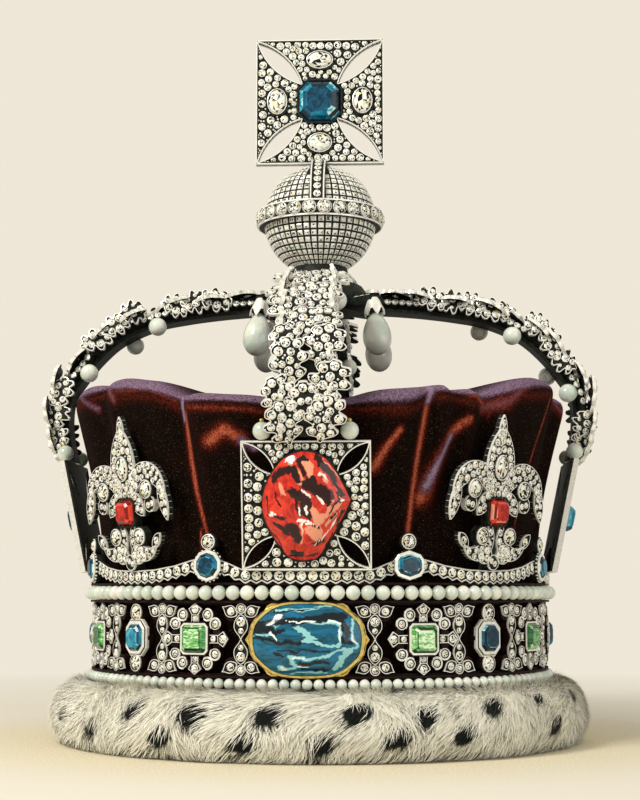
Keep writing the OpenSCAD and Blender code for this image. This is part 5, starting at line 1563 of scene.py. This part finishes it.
# Strokes of light on the pile: their points as degrees and height, the half width in mm at
# the start and end, how warm and how lavender they are
STROKES = (
    (((-29.5, 1.02), (-28.9, 0.84)), 1.8, 0.8, 0.5, 0.95),
    (((-28.1, 0.88), (-28.0, 0.75), (-27.7, 0.63), (-26.9, 0.49)), 1.25, 0.85, 0.95, 0.1),
    (((-26.9, 0.49), (-25.5, 0.35), (-23.3, 0.17)), 0.85, 0.5, 0.85, 0.0),
    (((-26.1, 0.28), (-26.7, 0.10)), 0.5, 0.3, 0.6, 0.0),
    (((-21.5, 0.74), (-18.1, 0.80), (-14.3, 0.75)), 2.0, 1.9, 0.85, 0.0),
    (((-14.3, 0.74), (-11.4, 0.70)), 1.7, 1.1, 0.4, 0.85),
    (((-26.5, 0.92), (-20.0, 0.905), (-8.0, 0.90)), 1.5, 1.0, 0.45, 0.0),
    (((-55.0, 0.98), (-51.0, 0.89)), 2.4, 1.4, 0.75, 0.4),
    (((-51.0, 0.93), (-40.0, 0.95), (-31.5, 0.93)), 1.3, 1.3, 0.4, 0.0),
    (((-69.0, 0.95), (-62.0, 0.86)), 1.2, 1.2, 0.55, 0.5),
    (((28.5, 1.02), (26.8, 0.91)), 2.4, 1.3, 0.5, 0.95),
    (((26.6, 0.92), (25.9, 0.79), (25.0, 0.61), (24.0, 0.36), (22.6, 0.09)), 1.2, 0.8, 0.9, 0.1),
    (((38.6, 0.82), (33.9, 0.74), (30.3, 0.60), (26.6, 0.42)), 1.3, 2.6, 0.85, 0.0),
    (((34.5, 0.74), (30.6, 0.61), (27.6, 0.47)), 1.0, 1.7, 0.4, 0.95),
    (((20.2, 0.80), (17.0, 0.70), (14.5, 0.60)), 0.9, 1.7, 0.9, 0.0),
    (((67.4, 0.90), (62.9, 0.65), (56.5, 0.10)), 0.6, 0.4, 0.6, 0.0),
    (((34.0, 0.99), (38.5, 0.95), (43.5, 0.92)), 1.2, 1.6, 0.7, 0.15),
    (((43.5, 0.90), (50.0, 0.90), (57.0, 0.97), (64.0, 1.02)), 2.4, 2.2, 0.65, 0.3),
    (((11.0, 0.90), (22.0, 0.91)), 1.1, 1.1, 0.35, 0.0),
    (((49.0, 0.96), (45.5, 0.84)), 0.8, 0.8, 0.45, 0.0),
    (((72.0, 0.99), (82.0, 0.90)), 1.7, 1.7, 0.55, 0.3))
BACK_FROM = 84
STROKES += tuple(
    (tuple((turn_off(0.9 * a + turn, 0), u) for a, u in spots), w0, w1, warmth, violet)
    for turn in (90, 180, -90) for spots, w0, w1, warmth, violet in STROKES[:16]
    if all(abs(turn_off(0.9 * spots[k][0] + turn, 0)) > BACK_FROM for k in (0, -1)))
R_MEAN = 104.0
arc_x = np.radians(np.broadcast_to(cap_angles, fold.shape)) * R_MEAN
arc_y = np.broadcast_to(RISE, arc_x.shape) * CAP_RISE
# Painted highlight: warm light along the fold ridges.
warm = 0.10 * ridge * FOLD
cool = np.zeros_like(warm)
arc_x = arc_x + 1.3 * ripple
arc_y = arc_y + 1.3 * np.roll(ripple, 7, 1)
for spots, w0, w1, warmth, violet in STROKES:
    path = np.array([(math.radians(a) * R_MEAN, u * CAP_RISE) for a, u in spots])
    lengths = np.concatenate([[0], np.cumsum(np.hypot(*np.diff(path, axis=0).T))])
    best = np.full(warm.shape, 1e3)
    for p, q, l0, l1 in zip(path, path[1:], lengths, lengths[1:]):
        d = q - p
        s = np.clip(((arc_x - p[0]) * d[0] + (arc_y - p[1]) * d[1]) / (d @ d), 0, 1)
        away = np.hypot(arc_x - p[0] - s * d[0], arc_y - p[1] - s * d[1])
        width = w0 + (w1 - w0) * (l0 + s * (l1 - l0)) / lengths[-1]
        best = np.minimum(best, away / width)
    soft = np.exp(-(best / 1.35) ** 1.15)
    warm = np.maximum(warm, warmth * soft)
    cool = np.maximum(cool, violet * np.exp(-(best / 1.15) ** 1.7))
# A painted lavender sheen along the top of the shoulder, and a painted warm band of light just
# below it.
uneven = 0.5 * ripple
top = np.clip((LEVEL - 6.1 + uneven) / 0.7, 0, 1) * np.clip((11.0 - LEVEL) / 3, 0, 1)
cool = np.clip(np.maximum(cool, 0.62 * top), 0, 0.95)
warm = np.maximum(warm, 0.24 * np.exp(-((LEVEL - 5.85 + uneven) / 0.45) ** 2))
warm = np.clip(warm, 0, 1)


def cap_piece():
    """The velvet as one sheet with a thickness of 1.2 mm."""
    rows, n = cap_points.shape[:2]
    tops = np.concatenate([cap_points.reshape(-1, 3), [[0, 0, z[-1].mean()]]])
    faces = band_faces(rows - 1, n)
    faces += [((rows - 1) * n + i, (rows - 1) * n + (i + 1) % n, rows * n) for i in range(n)]
    lights = {}
    for name, values in (("warm", warm), ("cool", cool)):
        values = np.concatenate([np.zeros((1, n)), np.broadcast_to(values, (rows - 1, n))])
        lights[name] = np.append(values.ravel(), 0)
    mesh = smooth_mesh("velvet_cap", tops, faces, **lights)
    made = piece_of(mesh, "velvet_cap", (VELVET,), ("cap",))
    thick = made.modifiers.new("thickness", "SOLIDIFY")
    thick.thickness = 1.2 * MM
    thick.offset = -1
    bpy.context.view_layer.objects.active = made
    for o in bpy.context.selected_objects:
        o.select_set(False)
    made.select_set(True)
    bpy.ops.object.modifier_apply(modifier=thick.name)
    return made


velvet_cap = cap_piece()

# fur
# Cross-section of the fur: shares of its width and height, and of the swell
FUR_ROWS = np.array([
    [-0.02, 0.02], [0.30, 0.015], [0.62, 0.02], [0.86, 0.10], [0.97, 0.28], [1.00, 0.45],
    [0.955, 0.64], [0.86, 0.80], [0.72, 0.92], [0.54, 0.98], [0.42, 0.965], [0.345, 0.90],
    [0.335, 0.80]])
# Black tails: degrees from the front, place up the section from 0 at the floor to 1 at the
# top, length and width in mm
TAILS = (
    (-74, 0.8, 9, 4), (-49, 0.86, 9.5, 3.6), (-32, 0.82, 9.5, 4), (-15.5, 0.78, 9.5, 4.2),
    (2, 0.76, 9, 4.2), (19.5, 0.74, 9, 4.2), (36.5, 0.8, 8.5, 4), (58.5, 0.84, 9, 3.8),
    (53.5, 0.52, 6.5, 4), (-62.5, 0.36, 9, 6.4), (-36, 0.45, 11.5, 8), (-22, 0.42, 12, 9),
    (-6.5, 0.44, 12, 8.4), (10, 0.45, 11, 8.4), (23.5, 0.42, 10.5, 7.6), (39.5, 0.48, 10.5, 7),
    (-29, 0.24, 10.5, 7.6), (-11.5, 0.22, 12, 7.4), (3.5, 0.22, 12, 7.4),
    (17.5, 0.25, 11.5, 7.4), (31.5, 0.26, 10.5, 6.8), (58, 0.28, 10, 6.6),
    (-49.5, 0.28, 9.5, 6.8), (72, 0.5, 8.5, 6))
TAILS += tuple((a, (0.78, 0.46, 0.24)[k % 3], 11, 7) for k, a in enumerate(
    range(84, 282, 11)))


# Room for the hairs over the base, and how far the base stays above the floor
HAIR_ROOM, HAIR_ROOM_UP, FUR_FLOOR = 3.2, 1.2, 0.25


def fur_at(angle, s):
    """Points of the fur's surface at angles in degrees and places up the section."""
    out, up = smooth_rows(FUR_ROWS, 2 + s * (len(FUR_ROWS) - 3.001)).T
    swell = round_noise(angle, 3.2, s * 2.0)
    r = BORE_R + (FUR_W - HAIR_ROOM) * out + swell * 1.2 * (out > 0.5)
    return polar(r, angle, np.maximum((FUR_H - HAIR_ROOM_UP) * up + swell * 0.8, FUR_FLOOR))


TAIL_R, FUR_GIRTH, TAIL_LEAN = 112, 48, 0.45


def tail_share(angle, s, ragged):
    """How black the fur is here: 1 inside a tail."""
    out = np.zeros(len(angle))
    for a, up, length, width in TAILS:
        x, y = np.radians(turn_off(angle, a)) * TAIL_R, (s - up) * FUR_GIRTH
        u = x * math.cos(TAIL_LEAN) + y * math.sin(TAIL_LEAN)
        v = -x * math.sin(TAIL_LEAN) + y * math.cos(TAIL_LEAN)
        d = np.hypot(u / (length / 2), v / (width / 2))
        out = np.maximum(out, np.clip((1.08 + ragged - d) / 0.12, 0, 1))
    return out


fur_n, fur_rows = 480, 40
grid_a = np.linspace(0, 360, fur_n, endpoint=False)
base_points, tone = [], []
for s in np.linspace(-0.17, 1, fur_rows):
    level = np.full(fur_n, s)
    base_points.append(fur_at(grid_a, level))
    # Painted shade: the base darkens towards its lower edge.
    shade = 0.76 + 0.12 * round_noise(grid_a, 9, s * 6) - 0.62 * np.clip(0.16 - s, 0, 1) / 0.2
    tone.append(shade * (1 - tail_share(grid_a, level, 0 * grid_a)))
for up in (FUR_H - FUR_LIP - 0.4, FUR_FLOOR):
    base_points.append(polar(BORE_R + 0.1, grid_a, up))
    tone.append(np.full(fur_n, 0.6))
faces = band_faces(fur_rows + 1, fur_n)
faces += [((fur_rows + 1) * fur_n + i, (fur_rows + 1) * fur_n + (i + 1) % fur_n,
           (i + 1) % fur_n, i) for i in range(fur_n)]
mesh = smooth_mesh("fur_base", np.concatenate(base_points), faces, tint=np.concatenate(tone))
piece_of(mesh, "fur_base", (FUR,), ("ermine",))


HAIRS_A_QUARTER, HAIR_FLOOR = 15000, 0.15


def hair_piece(name, low, high, count):
    """Hairs as thin curved blades that lie along the fur and stand off at the edges."""
    a = rng.uniform(low, high, count)
    s = rng.uniform(0, 0.99, count) ** 0.93
    root = fur_at(a, s)
    up = unit(fur_at(a, np.clip(s + 0.02, 0, 0.995)) - fur_at(a, np.clip(s - 0.02, 0, 0.995)))
    side = polar(1.0, a + 90, np.zeros(count))
    out = np.cross(side, up)
    ragged = rng.normal(0, 0.2, count)
    black = tail_share(a, s, ragged)
    lean = -0.55 + 1.5 * round_noise(a, 5, s * 2.5) + rng.normal(0, 0.22, count)
    drop = 0.30 + 0.5 * (1 - s) - 0.77 * np.clip((s - 0.75) / 0.2, 0, 1)
    flow = unit(lean[:, None] * side - drop[:, None] * up)
    lift = (0.17 + rng.uniform(0, 0.16, count))[:, None]
    length = rng.uniform(4.5, 8.0, count) * (1 - 0.25 * (s < 0.12)) * (1 - 0.35 * black)
    first = unit(flow * (1 - lift) + out * lift)
    middle = root + first * (length * 0.5)[:, None]
    tip = middle + unit(flow * 0.9 + out * lift * 0.35) * (length * 0.5)[:, None]
    for spots in (middle, tip):
        spots[:, 2] = np.maximum(spots[:, 2], HAIR_FLOOR)
    across = unit(np.cross(first, out)) * rng.uniform(0.20, 0.34, count)[:, None]
    root = root - out * 0.4
    points = np.stack([root - across / 2, root + across / 2, middle + across * 0.42,
                       middle - across * 0.42, tip], 1)
    corners = np.array([0, 1, 2, 3, 3, 2, 4]) + 5 * np.arange(count)[:, None]
    # Grey hairs: a few at random everywhere, and more towards the lower edge as painted shade; more
    # also towards the top edge, and on the sides from 52 to 100 degrees off the front.
    grey_and_shade_share = 0.10 + 0.62 * np.clip((0.19 - s) / 0.13, 0, 1) + 0.24 * np.clip((s - 0.84) / 0.1, 0, 1)
    front = np.clip((abs(turn_off(a, 0)) - 52) / 30, 0, 1) * (abs(turn_off(a, 0)) < 100)
    grey_and_shade_share = grey_and_shade_share + 0.16 * front
    white = 0.78 + rng.normal(0, 0.09, count)
    grey = rng.random(count) < grey_and_shade_share
    white = np.where(grey, rng.uniform(0.16, 0.5, count), white)
    shade = white * (1 - black) + 0.03 * black
    piece = Piece()
    piece.put(points.reshape(-1, 3), corners.ravel(), np.tile([4, 3], count),
              np.zeros(2 * count, int), np.repeat(np.clip(shade, 0, 1), 2),
              np.ones(2 * count, bool))
    piece.make(name, (FUR,))


for k in range(4):
    hair_piece(f"fur_hair_{k + 1}", 90 * k - 45, 90 * k + 45, HAIRS_A_QUARTER)

# carried-over nodes: the circlet keeps its ground, the thread is gold, and the frames behind the
# pavé take the near-black metal, a painted shade between the stones
PAINTED_SHADE_NODES = ["arch_boss", "monde", "top_cross", "festoon"]
PAINTED_SHADE_NODES += [f"cross_{name}" for name in names] + [f"fleur_{name}" for name in fleur_names]
for node, material in [("circlet", GROUND), ("thread_upper", GOLD)] + [
        (node, PAINTED_SHADE_METAL) for node in PAINTED_SHADE_NODES]:
    shown = bpy.data.objects.get(node)
    shown.data.materials.clear()
    shown.data.materials.append(material)

# light and floor
PAPER = (0.86, 0.80, 0.68)
world = bpy.data.worlds.new("studio")
bpy.context.scene.world = world
world.use_nodes = True
tree = world.node_tree
seen = tree.nodes["Background"]
seen.inputs["Color"].default_value = rgba(*PAPER)
lighting = node_of(tree, "Background", {"Color": PAPER, "Strength": 0.70})
blend_shaders(tree, node_of(tree, "LightPath").outputs["Is Camera Ray"], lighting.outputs[0],
              seen.outputs[0], "World Output")


def area_light(name, at, aim, size, power, colour=(1, 1, 1)):
    data = bpy.data.lights.new(name, "AREA")
    data.size, data.energy, data.color = size, power, colour
    made = bpy.data.objects.new(name, data)
    made.location = at
    made.rotation_euler = (Vector(aim) - Vector(at)).to_track_quat("-Z", "Y").to_euler()
    bpy.context.collection.objects.link(made)


area_light("key", (-0.62, -0.75, 0.85), (0, 0, 0.14), 0.35, 11, (1.0, 0.97, 0.90))
area_light("fill", (0.8, -0.6, 0.35), (0, 0, 0.12), 0.8, 2.5, (0.92, 0.97, 1.0))

floor_mesh = bpy.data.meshes.new("floor")
floor_part = ringed([circle_ring(r, 0, 96) for r in (0.05, 0.2, 0.45, 0.8, 1.4)], 0, 0)
floor_mesh.from_pydata(floor_part.points.tolist(), [], face_list(floor_part))
floor = bpy.data.objects.new("floor", floor_mesh)
bpy.context.collection.objects.link(floor)
floor_material, tree, bsdf = shader("floor", Roughness=0.9, Specular_IOR_Level=0.0)
coords = node_of(tree, "TexCoord")
length = node_of(tree, "VectorMath", {0: coords.outputs["Object"]}, operation="LENGTH")
speckle = noise_node(tree, 900, 2.0)
# A painted shadow of sand colour, speckled, round the foot of the crown: full within 0.125 m of the
# middle, gone by 0.185 m.
painted_shadow = mix(tree, grey_ramp(tree, speckle, 0.45, 0.6), (0.72, 0.64, 0.44), (0.84, 0.78, 0.64))
painted_shadow_share = grey_ramp(tree, length.outputs["Value"], 0.125, 0.185, 1.0, 0.0)
colour_from(tree, bsdf, mix(tree, painted_shadow_share, (0.79, 0.745, 0.65), painted_shadow))
clear = node_of(tree, "BsdfTransparent")
fade = grey_ramp(tree, length.outputs["Value"], 0.16, 0.60)
blend_shaders(tree, fade, bsdf.outputs[0], clear.outputs[0], "Material Output")
floor_mesh.materials.append(floor_material)

bpy.context.scene.view_settings.view_transform = "Standard"
bpy.context.scene.view_settings.look = "None"
